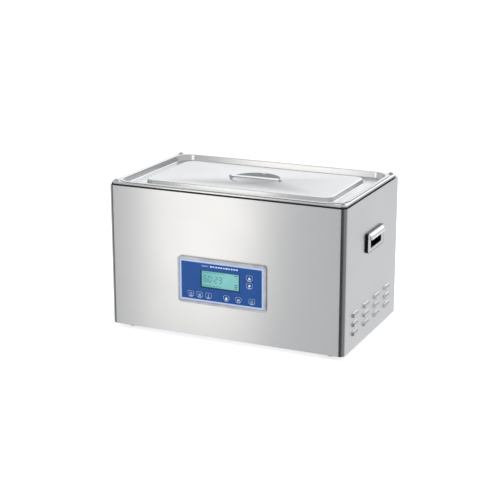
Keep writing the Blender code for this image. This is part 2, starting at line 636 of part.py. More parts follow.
def build_electronics(faces, mats):
    floor = 0.0004 + SHEET + GAP
    at = (0.040, -0.045, 0)
    bm = bmesh.new()
    box(bm, (-0.110, -0.055, floor + 0.0070), (0.110, 0.055, floor + 0.0086))
    board = add("generator_board", bm, faces["case"], at, mats["board"])
    legs = bmesh.new()
    for x in (-0.102, 0.102):
        for y in (-0.047, 0.047):
            cylinder(legs, 0.003, floor, floor + 0.0078, (x, y), 8)
    boolean(board, add("board_legs", legs, faces["case"], at), "UNION")

    top = floor + 0.0086 + GAP
    fins = [(-0.030, top), (0.030, top), (0.030, top + 0.032)]
    for number in range(6):
        x = 0.030 - number * 0.0116
        fins += [(x - 0.002, top + 0.032), (x - 0.002, top + 0.006)]
        if number < 5:
            fins += [(x - 0.0116, top + 0.006), (x - 0.0116, top + 0.032)]
    fins = fins[:-1] + [(-0.030, top + 0.006)]
    sink = prism(fins, -0.040, 0.040)
    bmesh.ops.rotate(sink, verts=sink.verts, cent=(0, 0, 0), matrix=Matrix.Rotation(pi / 2, 3, "X"))
    add("heat_sink", sink, faces["case"], (-0.020, -0.045, 0), mats["aluminium"])

    coil = lathe([(0.010, top), (0.020, top), (0.020, top + 0.018), (0.010, top + 0.018)], 16)
    add("output_coil", coil, faces["case"], (0.110, -0.060, 0), mats["copper"], 40)

    for side, sign in (("left", -1), ("right", 1)):
        middle = TANK_W / 2 + SHEET + GAP + 0.0009
        bm = bmesh.new()
        box(bm, (-0.0009, -0.100, 0.135), (0.0009, 0.100, 0.175))
        add(f"heater_pad_{side}", bm, faces["case"], (sign * middle, 0, 0), mats["silicone"])

    profile = [(0, 0), (0.006, 0), (0.006, -0.003), (0.003, -0.004), (0.003, -0.022), (0, -0.022)]
    place = (0, -0.010, TANK_FLOOR - GAP)
    add("temperature_probe", lathe(profile, 12), faces["case"], place, mats["brass"], 40)


# ---- rear: fan, mains inlet, switch -------------------------------------------------------------
def build_fan(faces, mats):
    at = (*FAN_AT, 0)
    outer, inner, depth, front = 0.040, 0.0375, 0.025, REAR_SKIN - SHEET - GAP
    loops = [rounded(outer, outer, 0.003, front, 5), rounded(outer, outer, 0.003, front - depth, 5)]
    loops += [circle(inner, front - depth, 24), circle(inner, front, 24)]
    frame = add("fan_frame", skin(loops, ring=True), faces["rear"], at, mats["black"], 40)
    hub = bmesh.new()
    cylinder(hub, 0.0165, front - depth + 0.0005, front - depth + 0.005, segments=20)
    tool = add("fan_motor_mount", hub, faces["rear"], at)
    boolean(frame, add_struts(faces["rear"], at, front - depth + 0.001), "UNION")
    boolean(frame, tool, "UNION")
    bore = bmesh.new()
    cylinder(bore, 0.0022, front - depth - 0.01, front, segments=12)
    boolean(frame, add("fan_bearing_bore", bore, faces["rear"], at))

    rotor_back, rotor_front = front - depth + 0.0065, front - 0.0015
    profile = [(0, rotor_front), (0.0155, rotor_front), (0.0165, rotor_front - 0.001), (0.0165, rotor_back)]
    profile += [(0.0017, rotor_back), (0.0017, front - depth + 0.002), (0, front - depth + 0.002)]
    rotor = add("fan_rotor", lathe(profile, 20), faces["rear"], at, mats["black"], 40)
    blades = bmesh.new()
    for number in range(7):
        before = len(blades.verts)
        box(blades, (0.0150, -0.0006, -0.0085), (0.0355, 0.0006, 0.0085))
        verts = list(blades.verts)[before:]
        pitch = Matrix.Rotation(radians(38), 3, "X")
        turn = Matrix.Rotation(number * 2 * pi / 7, 3, "Z")
        bmesh.ops.rotate(blades, verts=verts, cent=(0, 0, 0), matrix=turn @ pitch)
    middle = (at[0], at[1], (rotor_front + rotor_back) / 2)
    boolean(rotor, add("fan_blades", blades, faces["rear"], middle), "UNION")


def add_struts(face, at, low):
    struts = bmesh.new()
    for number in range(3):
        before = len(struts.verts)
        box(struts, (0.010, -0.002, low), (0.0385, 0.002, low + 0.0025))
        turn = Matrix.Rotation(number * 2 * pi / 3 + pi / 2, 3, "Z")
        bmesh.ops.rotate(struts, verts=list(struts.verts)[before:], cent=(0, 0, 0), matrix=turn)
    return add("fan_struts", struts, face, at)


def build_inlet(faces, mats):
    """The mains socket: a flanged shell with a deep recess and three blades."""
    skin_out, face = REAR_SKIN + GAP, 0.0018
    loops = [
        rounded(0.0138, 0.0098, 0.002, -0.026, 2),
        rounded(0.0138, 0.0098, 0.002, skin_out, 2),
        rounded(0.0165, 0.0125, 0.003, skin_out, 2),
        rounded(0.0165, 0.0125, 0.003, face, 2),
        rounded(0.0120, 0.0080, 0.002, face, 2),
        rounded(0.0120, 0.0080, 0.002, -0.018, 2),
    ]
    inlet = add("mains_inlet", skin(loops, True, True), faces["rear"], (*INLET_AT, 0), mats["black"])
    blades = bmesh.new()
    for x, y in ((-0.007, -0.001), (0.007, -0.001), (0, 0.002)):
        box(blades, (x - 0.001, y - 0.002, -0.020), (x + 0.001, y + 0.002, -0.006))
    boolean(inlet, add("inlet_blades", blades, faces["rear"], (*INLET_AT, 0)), "UNION")


def build_switch(faces, mats):
    skin_out, face = REAR_SKIN + GAP, 0.0008
    loops = [
        rounded(0.0098, 0.0068, 0.001, -0.016, 2),
        rounded(0.0098, 0.0068, 0.001, skin_out, 2),
        rounded(0.0120, 0.0090, 0.002, skin_out, 2),
        rounded(0.0120, 0.0090, 0.002, face, 2),
        rounded(0.0086, 0.0058, 0.0006, face, 2),
        rounded(0.0086, 0.0058, 0.0006, -0.010, 2),
    ]
    turned = [rotate_quarter(loop) for loop in loops]
    add("switch_housing", skin(turned, True, True), faces["rear"], (*SWITCH_AT, 0), mats["black"])

    reach, low, valley, peak = 0.0078, -0.0050, 0.0012, 0.0027
    outline = [(-reach, peak), (-reach * 0.9, low), (0, low - 0.0012), (reach * 0.9, low)]
    outline += [(reach, peak), (0, valley)]
    bm = prism(outline, -0.0053, 0.0053)
    to_axis = Matrix(((0, 0, 1), (1, 0, 0), (0, 1, 0)))
    bmesh.ops.rotate(bm, verts=bm.verts, cent=(0, 0, 0), matrix=to_axis)
    bmesh.ops.rotate(bm, verts=bm.verts, cent=(0, 0, 0), matrix=Matrix.Rotation(ROCKER_REST, 3, "X"))
    add("switch_rocker", bm, faces["rear"], (*SWITCH_AT, 0), mats["black"])


def rotate_quarter(loop):
    """Turns a loop's long side upright."""
    return [Vector((-point.y, point.x, point.z)) for point in loop]


# ---- drain --------------------------------------------------------------------------------------
def tube(path, outer, inner, sides=16):
    """A pipe along a path in the YZ plane, open at both ends."""
    loops = []
    for radius, ordered in ((outer, path), (inner, path[::-1])):
        for point in ordered:
            i = path.index(point)
            ahead, behind = path[min(i + 1, len(path) - 1)], path[max(i - 1, 0)]
            along = (Vector((0, *ahead)) - Vector((0, *behind))).normalized()
            across = along.cross(Vector((1, 0, 0)))
            spokes = [k * 2 * pi / sides for k in range(sides)]
            centre = Vector((0, *point))
            loops.append([centre + radius * (cos(a) * Vector((1, 0, 0)) + sin(a) * across) for a in spokes])
    return skin(loops, ring=True)


def build_drain(faces, mats):
    rise = TANK_FLOOR - GAP - DRAIN_AT[1]
    run = CASE_D / 2 + VALVE_START - GAP - DRAIN_TANK_Y
    bend = 0.020
    path = [(0, rise)]
    for step in range(6):
        angle = step / 5 * pi / 2
        path.append((bend * (1 - cos(angle)), bend * (1 - sin(angle))))
    path.append((run, 0))
    pipe = tube(path, 0.0105, 0.0080)
    add("drain_pipe", pipe, faces["case"], (-DRAIN_AT[0], DRAIN_TANK_Y, DRAIN_AT[1]), mats["polished"], 40)

    at = (*DRAIN_AT, 0)
    body = [(0.0065, VALVE_START), (0.0135, VALVE_START), (0.0135, 0.0110), (0.0115, 0.0130)]
    body += [(0.0150, VALVE_BALL - 0.004), (0.0150, VALVE_BALL + 0.004), (0.0115, 0.0310), (0.0135, 0.0330)]
    body += [(0.0135, VALVE_END), (0.0065, VALVE_END), (0.0065, VALVE_BALL + 0.0075)]
    body += [(0.0095, VALVE_BALL + 0.0030), (0.0095, VALVE_BALL - 0.0030), (0.0065, VALVE_BALL - 0.0075)]
    valve = add("valve_body", lathe(body, 24), faces["rear"], at, mats["brass"], 40)
    boss, bore = bmesh.new(), bmesh.new()
    cylinder(boss, 0.0065, 0.0125, 0.0205)
    cylinder(bore, 0.0034, 0.0050, 0.0300)
    for name, bm, operation in (("valve_boss", boss, "UNION"), ("valve_stem_bore", bore, "DIFFERENCE")):
        bmesh.ops.rotate(bm, verts=bm.verts, cent=(0, 0, 0), matrix=Matrix.Rotation(-pi / 2, 3, "X"))
        boolean(valve, add(name, bm, faces["rear"], (at[0], at[1], VALVE_BALL)), operation)

    pivot = (at[0], at[1], VALVE_BALL)
    ball = bmesh.new()
    bmesh.ops.create_uvsphere(ball, u_segments=16, v_segments=10, radius=0.0088)
    stem_ball = add("valve_ball", ball, faces["rear"], pivot, mats["polished"], 40)
    passage = bmesh.new()
    cylinder(passage, 0.0055, -0.02, 0.02)
    bmesh.ops.rotate(passage, verts=passage.verts, cent=(0, 0, 0), matrix=Matrix.Rotation(pi / 2, 3, "Y"))
    boolean(stem_ball, add("ball_passage", passage, faces["rear"], pivot))
    stem = bmesh.new()
    cylinder(stem, 0.0029, 0.0070, LEVER_H + 0.0048, segments=12)
    bmesh.ops.rotate(stem, verts=stem.verts, cent=(0, 0, 0), matrix=Matrix.Rotation(-pi / 2, 3, "X"))
    boolean(stem_ball, add("valve_stem", stem, faces["rear"], pivot), "UNION")
    build_lever(faces["rear"], pivot, mats)

    nozzle = [(0.0045, VALVE_END + GAP), (0.0130, VALVE_END + GAP), (0.0130, 0.0440), (0.0062, 0.0440)]
    for ridge in (0.0460, 0.0510):
        nozzle += [(0.0062, ridge), (0.0078, ridge + 0.0002), (0.0064, ridge + 0.0042)]
    nozzle += [(0.0078, 0.0560), (0.0060, REAR_REACH), (0.0045, REAR_REACH)]
    add("drain_nozzle", lathe(nozzle, 20), faces["rear"], at, mats["brass"], 40)


def build_lever(face, pivot, mats):
    """The quarter-turn lever points along the panel while the valve is shut."""
    high = LEVER_H
    spine = [(0.009, high), (-0.016, high), (-0.026, high + 0.006), (-0.068, high + 0.006)]
    bm = bmesh.new()
    rows = [[bm.verts.new((x, y, z)) for z in (-0.0065, 0.0065)] for x, y in spine]
    for near, far in zip(rows, rows[1:]):
        bm.faces.new((near[0], far[0], far[1], near[1]))
    for face_of in bm.faces:
        face_of.normal_flip()
    lever = add("valve_lever", bm, face, pivot, mats["polished"])
    modifier = thicken(lever, 0.0020).modifiers[0]
    modifier.offset = 0
    hole = bmesh.new()
    cylinder(hole, 0.0033, high - 0.01, high + 0.01, segments=12)
    bmesh.ops.rotate(hole, verts=hole.verts, cent=(0, 0, 0), matrix=Matrix.Rotation(-pi / 2, 3, "X"))
    boolean(lever, add("lever_hole", hole, face, pivot))

    loops, blunt, full = [], (0.0030, 0.0085), (0.0036, 0.0092)
    for x, halves in ((-0.0340, blunt), (-0.0360, full), (-0.0690, full), (-0.0710, blunt)):
        loops.append([Vector((x, high + 0.006 + p.x, p.y)) for p in rounded(*halves, 0.0025, 0, 2)])
    sleeve = add("lever_sleeve", skin(loops, True, True), face, pivot, mats["grip"], 40)
    core = bmesh.new()
    box(core, (-0.0685, high + 0.006 - 0.0013, -0.0068), (-0.0300, high + 0.006 + 0.0013, 0.0068))
    boolean(sleeve, add("sleeve_core", core, face, pivot))

    nut = bmesh.new()
    cylinder(nut, 0.0055, high + 0.0013, high + 0.0043, segments=6)
    bmesh.ops.rotate(nut, verts=nut.verts, cent=(0, 0, 0), matrix=Matrix.Rotation(-pi / 2, 3, "X"))
    nut_obj = add("lever_nut", nut, face, pivot, mats["zinc"])
    hole = bmesh.new()
    cylinder(hole, 0.0032, high, high + 0.01, segments=12)
    bmesh.ops.rotate(hole, verts=hole.verts, cent=(0, 0, 0), matrix=Matrix.Rotation(-pi / 2, 3, "X"))
    boolean(nut_obj, add("nut_hole", hole, face, pivot))


# ---- the whole object ---------------------------------------------------------------------------
def main():
    clear_scene()
    mats = make_materials()
    faces = make_faces()
    tools = {"studs": stud_holes("stud_holes", faces["case"])}
    build_casing(faces, mats["brushed"])
    build_rear_panel(faces, mats["brushed"])
    build_base(faces, mats["zinc"])
    build_feet(faces, mats["rubber"])
    build_tank(faces, mats["brushed"], tools)
    build_top_frame(faces, mats["zinc"], tools)
    build_gasket(faces, mats["rubber"])
    build_studs(faces, mats["polished"])
    build_lid(faces, mats["brushed"], mats["polished"])
    build_panel(faces, mats)
    build_handle(faces["right"], "right", 1, mats)
    build_handle(faces["left"], "left", -1, mats)
    build_transducers(faces, mats["aluminium"])
    build_electronics(faces, mats)
    build_fan(faces, mats)
    build_inlet(faces, mats)
    build_switch(faces, mats)
    build_drain(faces, mats)


main()
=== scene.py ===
"""Looks of a bench-top ultrasonic cleaning bath: sheet-metal meshes, procedural materials, studio, camera.

Metres, +Z up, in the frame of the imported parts. Pieces are drawn on the casing's faces: there, X runs along
the face, Y up it from the casing's lower edge, and Z straight out of it.
"""

from math import cos, pi, radians, sin, tan

import bmesh
import bpy
from mathutils import Euler, Matrix, Vector


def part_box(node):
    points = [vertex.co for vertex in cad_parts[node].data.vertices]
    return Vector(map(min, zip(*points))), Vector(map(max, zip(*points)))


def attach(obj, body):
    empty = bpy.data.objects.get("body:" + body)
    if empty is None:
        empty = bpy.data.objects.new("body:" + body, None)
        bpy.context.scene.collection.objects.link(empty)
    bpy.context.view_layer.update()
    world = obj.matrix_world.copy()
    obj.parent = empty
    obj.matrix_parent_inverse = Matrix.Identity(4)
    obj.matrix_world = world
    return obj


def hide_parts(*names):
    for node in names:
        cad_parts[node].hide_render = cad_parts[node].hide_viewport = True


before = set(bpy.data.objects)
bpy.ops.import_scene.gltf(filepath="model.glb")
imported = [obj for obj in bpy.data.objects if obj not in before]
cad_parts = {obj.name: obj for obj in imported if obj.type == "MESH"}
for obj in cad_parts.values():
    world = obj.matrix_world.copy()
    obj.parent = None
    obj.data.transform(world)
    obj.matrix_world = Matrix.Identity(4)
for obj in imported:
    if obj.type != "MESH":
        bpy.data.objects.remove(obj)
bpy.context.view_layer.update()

# ---- sizes taken from the frame -----------------------------------------------------------------
SHEET = 0.0012
GAP = 0.0003
DECK_INSET = 0.002  # the deck's edge inside the casing's
DECK_ROLL = 0.004  # height of its turned-down rim
CASE_LOW, CASE_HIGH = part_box("outer_casing")
DECK_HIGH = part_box("tank")[1]
LID_LOW, LID_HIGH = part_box("lid")
HALF_W = DECK_HIGH.x + DECK_INSET
HALF_D = (CASE_HIGH.y - CASE_LOW.y) / 2
CASE_H = CASE_HIGH.z - CASE_LOW.z
MIDDLE = Vector((0, (CASE_LOW.y + CASE_HIGH.y) / 2, CASE_LOW.z))
FRONT_BEND = 0.012
REAR_BEND = 0.0016
RETURN_FLANGE = 0.014
TANK_DEPTH = 0.200
DRAIN_Y = 0.114  # behind the tank's middle
POCKET = (0.0442, 0.0162)  # half width and height of the grip's neck through the casing
BEZEL_NECK = (0.0948, 0.0440)  # and of the key panel's
KEY_FLANGE = 0.0006


def stand(x, y, turn):
    """The place of one of the casing's upright faces."""
    return Matrix.Translation(MIDDLE + Vector((x, y, 0))) @ Euler(turn).to_matrix().to_4x4()


FACES = {
    "case": Matrix.Translation(MIDDLE),
    "deck": Matrix.Translation((0, MIDDLE.y, DECK_HIGH.z)),
    "front": stand(0, -HALF_D, (pi / 2, 0, 0)),
    "rear": stand(0, HALF_D, (pi / 2, 0, pi)),
    "right": stand(HALF_W, 0, (pi / 2, 0, pi / 2)),
    "left": stand(-HALF_W, 0, (pi / 2, 0, -pi / 2)),
}


def seat(node, face):
    """A node's lowest and highest corners in a face's own axes."""
    corners = [FACES[face].inverted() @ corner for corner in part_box(node)]
    return Vector(map(min, *corners)), Vector(map(max, *corners))


def middle_of(node, face):
    low, high = seat(node, face)
    return (low + high) / 2


def spot_of(node, face):
    """Where a node's middle meets the face."""
    middle = middle_of(node, face)
    return Vector((middle.x, middle.y, 0))


# ---- materials ----------------------------------------------------------------------------------
class Finish:
    """A Principled material whose colour, roughness and relief come from procedural textures."""

    def __init__(self, name, colour, roughness, metallic=0.0, **constants):
        self.material = bpy.data.materials.new(name)
        self.material.use_nodes = True
        self.nodes = self.material.node_tree.nodes
        self.links = self.material.node_tree.links
        self.shader = self.nodes["Principled BSDF"]
        self.shader.inputs["Base Color"].default_value = (*colour, 1)
        self.shader.inputs["Roughness"].default_value = roughness
        self.shader.inputs["Metallic"].default_value = metallic
        for socket, value in constants.items():
            self.shader.inputs[socket.replace("_", " ")].default_value = value
        self.relief = None

    def coordinates(self, stretch):
        where = self.nodes.new("ShaderNodeTexCoord")
        mapping = self.nodes.new("ShaderNodeMapping")
        mapping.inputs["Scale"].default_value = stretch
        self.links.new(where.outputs["Object"], mapping.inputs["Vector"])
        return mapping.outputs["Vector"]

    def noise(self, scale, stretch=(1, 1, 1), detail=3.0):
        texture = self.nodes.new("ShaderNodeTexNoise")
        texture.inputs["Scale"].default_value = scale
        texture.inputs["Detail"].default_value = detail
        self.links.new(self.coordinates(stretch), texture.inputs["Vector"])
        return texture.outputs["Fac"]

    def cells(self, scale):
        texture = self.nodes.new("ShaderNodeTexVoronoi")
        texture.inputs["Scale"].default_value = scale
        self.links.new(self.coordinates((1, 1, 1)), texture.inputs["Vector"])
        return texture.outputs["Distance"]

    def along(self, axis, low, high):
        """0 to 1 along an axis between two places."""
        split = self.nodes.new("ShaderNodeSeparateXYZ")
        self.links.new(self.coordinates((1, 1, 1)), split.inputs["Vector"])
        return self.spread(split.outputs[axis], 0, 1, low, high)

    def spread(self, source, low, high, start=0.25, end=0.75):
        """Maps a texture's middle range onto low to high."""
        node = self.nodes.new("ShaderNodeMapRange")
        for socket, value in (("From Min", start), ("From Max", end), ("To Min", low), ("To Max", high)):
            node.inputs[socket].default_value = value
        self.links.new(source, node.inputs["Value"])
        return node.outputs["Result"]

    def ramp(self, source, stops):
        node = self.nodes.new("ShaderNodeValToRGB")
        elements = node.color_ramp.elements
        while len(elements) < len(stops):
            elements.new(0.5)
        for element, (place, colour) in zip(elements, stops):
            element.position = place
            element.color = (*colour, 1)
        self.links.new(source, node.inputs["Fac"])
        return node.outputs["Color"]

    def colour(self, source, *stops):
        self.links.new(self.ramp(source, stops), self.shader.inputs["Base Color"])
        return self

    def roughen(self, source, low, high):
        self.links.new(self.spread(source, low, high), self.shader.inputs["Roughness"])
        return self

    def paint_shade_within(self, radius, tone):
        """Darkens the colour within a radius of the piece's upright axis: painted shade in a deep pressing's
        hollow.
        """
        distance, shade = (self.nodes.new("ShaderNodeVectorMath") for _ in range(2))
        distance.operation, shade.operation = "LENGTH", "SCALE"
        self.links.new(self.coordinates((1, 1, 0)), distance.inputs[0])
        fade = self.spread(distance.outputs["Value"], tone, 1, radius - 0.0015, radius + 0.0010)
        base = self.shader.inputs["Base Color"]
        self.links.new(base.links[0].from_socket, shade.inputs["Vector"])
        self.links.new(fade, shade.inputs["Scale"])
        self.links.new(shade.outputs["Vector"], base)
        return self

    def glow(self, level, tint=(1, 1, 1)):
        self.shader.inputs["Emission Color"].default_value = (*tint, 1)
        self.shader.inputs["Emission Strength"].default_value = level
        self.material.cycles.emission_sampling = "NONE"
        return self

    def emboss(self, source, depth, strength=1.0):
        """Adds relief of this depth in metres, on top of what is there."""
        bump = self.nodes.new("ShaderNodeBump")
        bump.inputs["Distance"].default_value = depth
        bump.inputs["Strength"].default_value = strength
        self.links.new(source, bump.inputs["Height"])
        if self.relief:
            self.links.new(self.relief, bump.inputs["Normal"])
        self.relief = bump.outputs["Normal"]
        self.links.new(self.relief, self.shader.inputs["Normal"])
        return self


BRUSHED_TONE = 0.60


def brushed(name, grain, low, high, axis=None, turn=0.0):
    """Brushed stainless steel. grain stretches the scratches: small along them, large across. With an axis,
    highlights are drawn out across the scratches too."""
    tone = BRUSHED_TONE
    finish = Finish(name, (tone, tone, tone), 0.32, 1.0)
    if axis:
        tangent = finish.nodes.new("ShaderNodeTangent")
        tangent.direction_type = "RADIAL"
        tangent.axis = axis
        finish.links.new(tangent.outputs["Tangent"], finish.shader.inputs["Tangent"])
        finish.shader.inputs["Anisotropic"].default_value = 0.7
        finish.shader.inputs["Anisotropic Rotation"].default_value = turn
    scratches = finish.noise(1.0, grain, 2.0)
    dull, fresh = (tone * 0.975, tone * 0.98, tone * 0.985), (tone * 1.015, tone * 1.015, tone * 1.015)
    finish.colour(scratches, (0.30, dull), (0.70, fresh))
    finish.roughen(finish.noise(7.0, detail=2.0), low, high)
    return finish.emboss(scratches, 0.00001, 0.15)


def plated(name, tone, roughness, tint=(1.0, 1.0, 1.0)):
    """Bright metal with faint handling marks."""
    finish = Finish(name, [tone * part for part in tint], roughness, 1.0)
    marks = finish.noise(60.0, detail=4.0)
    finish.roughen(marks, roughness * 0.75, roughness * 1.35)
    finish.emboss(finish.noise(260.0), 0.00002, 0.2)
    return finish.material


def moulded(name, colour, roughness, grain=1600.0, depth=0.00006):
    """Moulded plastic or rubber with a fine spark-eroded grain."""
    finish = Finish(name, colour, roughness)
    dark, light = [part * 0.8 for part in colour], [part * 1.2 for part in colour]
    finish.colour(finish.noise(35.0, detail=4.0), (0.3, dark), (0.7, light))
    finish.roughen(finish.noise(120.0), roughness * 0.85, roughness * 1.15)
    finish.emboss(finish.noise(grain), depth, 0.5)
    return finish.material


def film(name, colour, roughness=0.34):
    """Printed polyester film: even colour under a fine velvet texture."""
    finish = Finish(name, colour, roughness, Specular_IOR_Level=0.2)
    dark, light = [part * 0.94 for part in colour], [part * 1.06 for part in colour]
    finish.colour(finish.noise(45.0), (0.3, dark), (0.7, light))
    finish.emboss(finish.noise(2600.0, detail=1.0), 0.00002, 0.25)
    return finish.material


def make_transducer_finish():
    """Aluminium front mass, ceramic rings and steel back mass, by height."""
    finish = Finish("transducer_stack", (0.7, 0.7, 0.7), 0.35, 1.0)
    low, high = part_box("transducer_front_1")
    bands = finish.along(2, low.z, high.z)
    steel, ceramic, alloy = (0.42, 0.42, 0.44), (0.75, 0.70, 0.60), (0.78, 0.78, 0.80)
    steps = ((0.0, steel), (0.34, steel), (0.345, ceramic), (0.55, ceramic), (0.555, alloy), (1.0, alloy))
    finish.colour(bands, *steps)
    finish.emboss(finish.noise(1.0, (40, 40, 2400)), 0.00003, 0.4)
    return finish.material


def make_board_finish():
    finish = Finish("circuit_board_mask", (0.02, 0.16, 0.06), 0.35, Coat_Weight=0.4)
    tracks = finish.cells(420.0)
    copper, mask, light = (0.10, 0.32, 0.10), (0.015, 0.13, 0.05), (0.02, 0.17, 0.07)
    finish.colour(tracks, (0.12, copper), (0.16, mask), (1.0, light))
    return finish.material


def make_winding_finish():
    finish = Finish("enamelled_winding", (0.60, 0.27, 0.12), 0.3, 1.0)
    turns = finish.noise(1.0, (60, 60, 1500), 1.0)
    finish.colour(turns, (0.35, (0.35, 0.13, 0.05)), (0.6, (0.72, 0.35, 0.16)))
    finish.emboss(turns, 0.0004)
    return finish.material


def make_display_finish():
    """The liquid-crystal field, a little lighter where its lamp sits."""
    finish = Finish("display_field", (0.25, 0.60, 0.58), 0.22, Coat_Weight=0.2, Coat_Roughness=0.08)
    low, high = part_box("lcd_window")
    finish.colour(finish.along(0, low.x, high.x), (0.0, (0.135, 0.440, 0.430)), (1.0, (0.200, 0.530, 0.510)))
    finish.emboss(finish.noise(900.0), 0.00001, 0.2)
    return finish.material


def make_finishes():
    return {
        "walls": brushed("brushed_walls", (6, 6, 1500), 0.27, 0.33, "Z", 0.25).material,
        "pressed": brushed("brushed_pressings", (6, 1500, 6), 0.26, 0.32).material,
        "deck": brushed("brushed_deck", (6, 1500, 1500), 0.22, 0.27, "X").material,
        # the lid's colour is darkened within the finger dish: painted shade
        "lid": brushed("brushed_lid", (6, 1500, 1500), 0.20, 0.25, "X").paint_shade_within(0.054, 0.58).material,
        "polished": plated("polished_steel", 0.62, 0.16),
        # the grip hood's steel is toned lighter than the rest: painted light on its lit top
        "hood": plated("satin_steel_painted_light", 0.80, 0.22),
        "zinc": plated("zinc_plating", 0.62, 0.38, (0.98, 1.0, 1.03)),
        "brass": plated("nickelled_brass", 0.74, 0.24, (1.0, 0.96, 0.88)),
        "alloy": plated("milled_aluminium", 0.75, 0.36),
        "transducer": make_transducer_finish(),
        "rubber": moulded("black_rubber", (0.022, 0.022, 0.023), 0.72, 900.0, 0.0001),
        "black": moulded("black_moulding", (0.018, 0.018, 0.019), 0.42),
        "gloss": moulded("glossy_black_moulding", (0.010, 0.010, 0.011), 0.16, 1600.0, 0.00001),
        "bezel": moulded("silver_grey_moulding", (0.42, 0.42, 0.45), 0.32, 2200.0, 0.00003),
        "blue": film("blue_film", (0.010, 0.070, 0.270)),
        "key": film("key_film", (0.012, 0.080, 0.290)),
        "border": film("pale_border", (0.46, 0.55, 0.74)),
        # navy for the band round the display: painted shadow
        "navy": film("navy_painted_shadow", (0.004, 0.022, 0.085)),
        "print": film("pale_print", (0.62, 0.72, 0.90)),
        "bright": film("white_print", (0.88, 0.93, 1.0)),
        "display": make_display_finish(),
        "segments": film("display_segments", (0.035, 0.16, 0.19), 0.3),
        "board": make_board_finish(),
        "winding": make_winding_finish(),
        "silicone": moulded("red_silicone", (0.42, 0.07, 0.04), 0.6, 1200.0),
        "vinyl": moulded("blue_vinyl", (0.015, 0.07, 0.32), 0.38, 700.0, 0.00008),
    }


# ---- mesh helpers -------------------------------------------------------------------------------
def rounded(half_x, half_y, radius, z, steps=10):
    """A rounded rectangle as an anticlockwise loop."""
    loop = []
    for corner in range(4):
        centre_x = (half_x - radius) * (1, -1, -1, 1)[corner]
        centre_y = (half_y - radius) * (1, 1, -1, -1)[corner]
        for step in range(steps + 1):
            angle = (corner + step / steps) * pi / 2
            loop.append(Vector((centre_x + radius * cos(angle), centre_y + radius * sin(angle), z)))
    return loop


def circle(radius, z, count):
    """A circle whose points pair up with those of a rounded rectangle."""
    angles = ((i + 0.5) * 2 * pi / count for i in range(count))
    return [Vector((radius * cos(a), radius * sin(a), z)) for a in angles]


def fillet(points, radii, steps=5):
    """A flat polyline with its inner corners rounded."""
    points = [Vector(point) for point in points]
    path = [points[0]]
    for before, corner, after, radius in zip(points, points[1:], points[2:], radii):
        if not radius:
            path.append(corner)
            continue
        back, ahead = (before - corner).normalized(), (after - corner).normalized()
        half = back.angle(ahead) / 2
        centre = corner + (back + ahead).normalized() * radius / sin(half)
        start = (corner + back * radius / tan(half) - centre).normalized()
        end = (corner + ahead * radius / tan(half) - centre).normalized()
        path += [centre + start.slerp(end, step / steps) * radius for step in range(steps + 1)]
    return path + [points[-1]]


def rings(base, profile, steps=10):
    """Loops in a rounded rectangle (half x, half y, radius), one for each (inset, height) of a profile."""
    half_x, half_y, radius = base
    return [rounded(half_x - inset, half_y - inset, radius - inset, z, steps) for inset, z in profile]


def skin(loops, cap_start=False, cap_end=False, ring=False, bm=None):
    """Faces between loops of equal length. ring joins the last loop to the first."""
    bm = bm or bmesh.new()
    rows = [[bm.verts.new(point) for point in loop] for loop in loops]
    pairs = list(zip(rows, rows[1:]))
    if ring:
        pairs.append((rows[-1], rows[0]))
    for low, high in pairs:
        for i in range(len(low)):
            j = (i + 1) % len(low)
            bm.faces.new((low[i], low[j], high[j], high[i]))
    if cap_start:
        bm.faces.new(reversed(rows[0]))
    if cap_end:
        bm.faces.new(rows[-1])
    return bm


def lathe(profile, segments=40, bm=None):
    """Turns (radius, along) points round Z. A profile that starts off the axis is closed on itself."""
    angles = [i * 2 * pi / segments for i in range(segments)]
    loops = []
    for radius, along in profile:
        radius = max(radius, 1e-5)
        loops.append([Vector((radius * cos(a), radius * sin(a), along)) for a in angles])
    solid = profile[0][0] == 0
    return skin(loops, cap_start=solid, cap_end=solid, ring=not solid, bm=bm)


def disc(radius, low, high, segments, bm=None):
    return lathe([(0, low), (radius, low), (radius, high), (0, high)], segments, bm)


def hexagon(radius):
    return [(radius * cos(k * pi / 3), radius * sin(k * pi / 3)) for k in range(6)]


def prism(outline, low, high, bm=None):
    """A closed flat outline drawn up from low to high."""
    loops = [[Vector((point[0], point[1], z)) for point in outline] for z in (low, high)]
    return skin(loops, True, True, bm=bm)


def band(outer, inner, low, high, bm=None):
    """A flat ring between two loops of equal length."""
    rows = [(outer, low), (outer, high), (inner, high), (inner, low)]
    return skin([[Vector((p[0], p[1], z)) for p in loop] for loop, z in rows], ring=True, bm=bm)


def block(low, high, bm=None):
    """A box between two corners."""
    outline = [(low[0], low[1]), (high[0], low[1]), (high[0], high[1]), (low[0], high[1])]
    return prism(outline, low[2], high[2], bm)


def shift(bm, since, matrix):
    """Moves what was added to a bmesh after it held this many points."""
    bm.verts.ensure_lookup_table()
    bmesh.ops.transform(bm, matrix=matrix, verts=bm.verts[since:])


def tube(points, radius, sides=12, closed=False, bm=None):
    """A round bar along a list of points."""
    points = [Vector(point) for point in points]
    loops = []
    for i, point in enumerate(points):
        ahead = points[(i + 1) % len(points)] if closed or i + 1 < len(points) else point
        behind = points[i - 1] if closed or i else point
        turn = (ahead - behind).to_track_quat("Z", "Y")
        spokes = (k * 2 * pi / sides for k in range(sides))
        loops.append([point + turn @ Vector((radius * cos(a), radius * sin(a), 0)) for a in spokes])
    return skin(loops, not closed, not closed, closed, bm)


def draw(name, bm, material, face="case", at=(0, 0, 0), turn=None, smooth=32):
    """Makes an object from a bmesh, standing on one of the faces."""
    if all(edge.is_manifold for edge in bm.edges):
        bmesh.ops.recalc_face_normals(bm, faces=bm.faces)
    mesh = bpy.data.meshes.new(name)
    bm.to_mesh(mesh)
    bm.free()
    if material:
        mesh.materials.append(material)
    mesh.shade_smooth()
    mesh.set_sharp_from_angle(angle=radians(smooth))
    obj = bpy.data.objects.new(name, mesh)
    bpy.context.scene.collection.objects.link(obj)
    obj.matrix_world = FACES[face] @ Matrix.Translation(at) @ (turn or Matrix())
    return obj


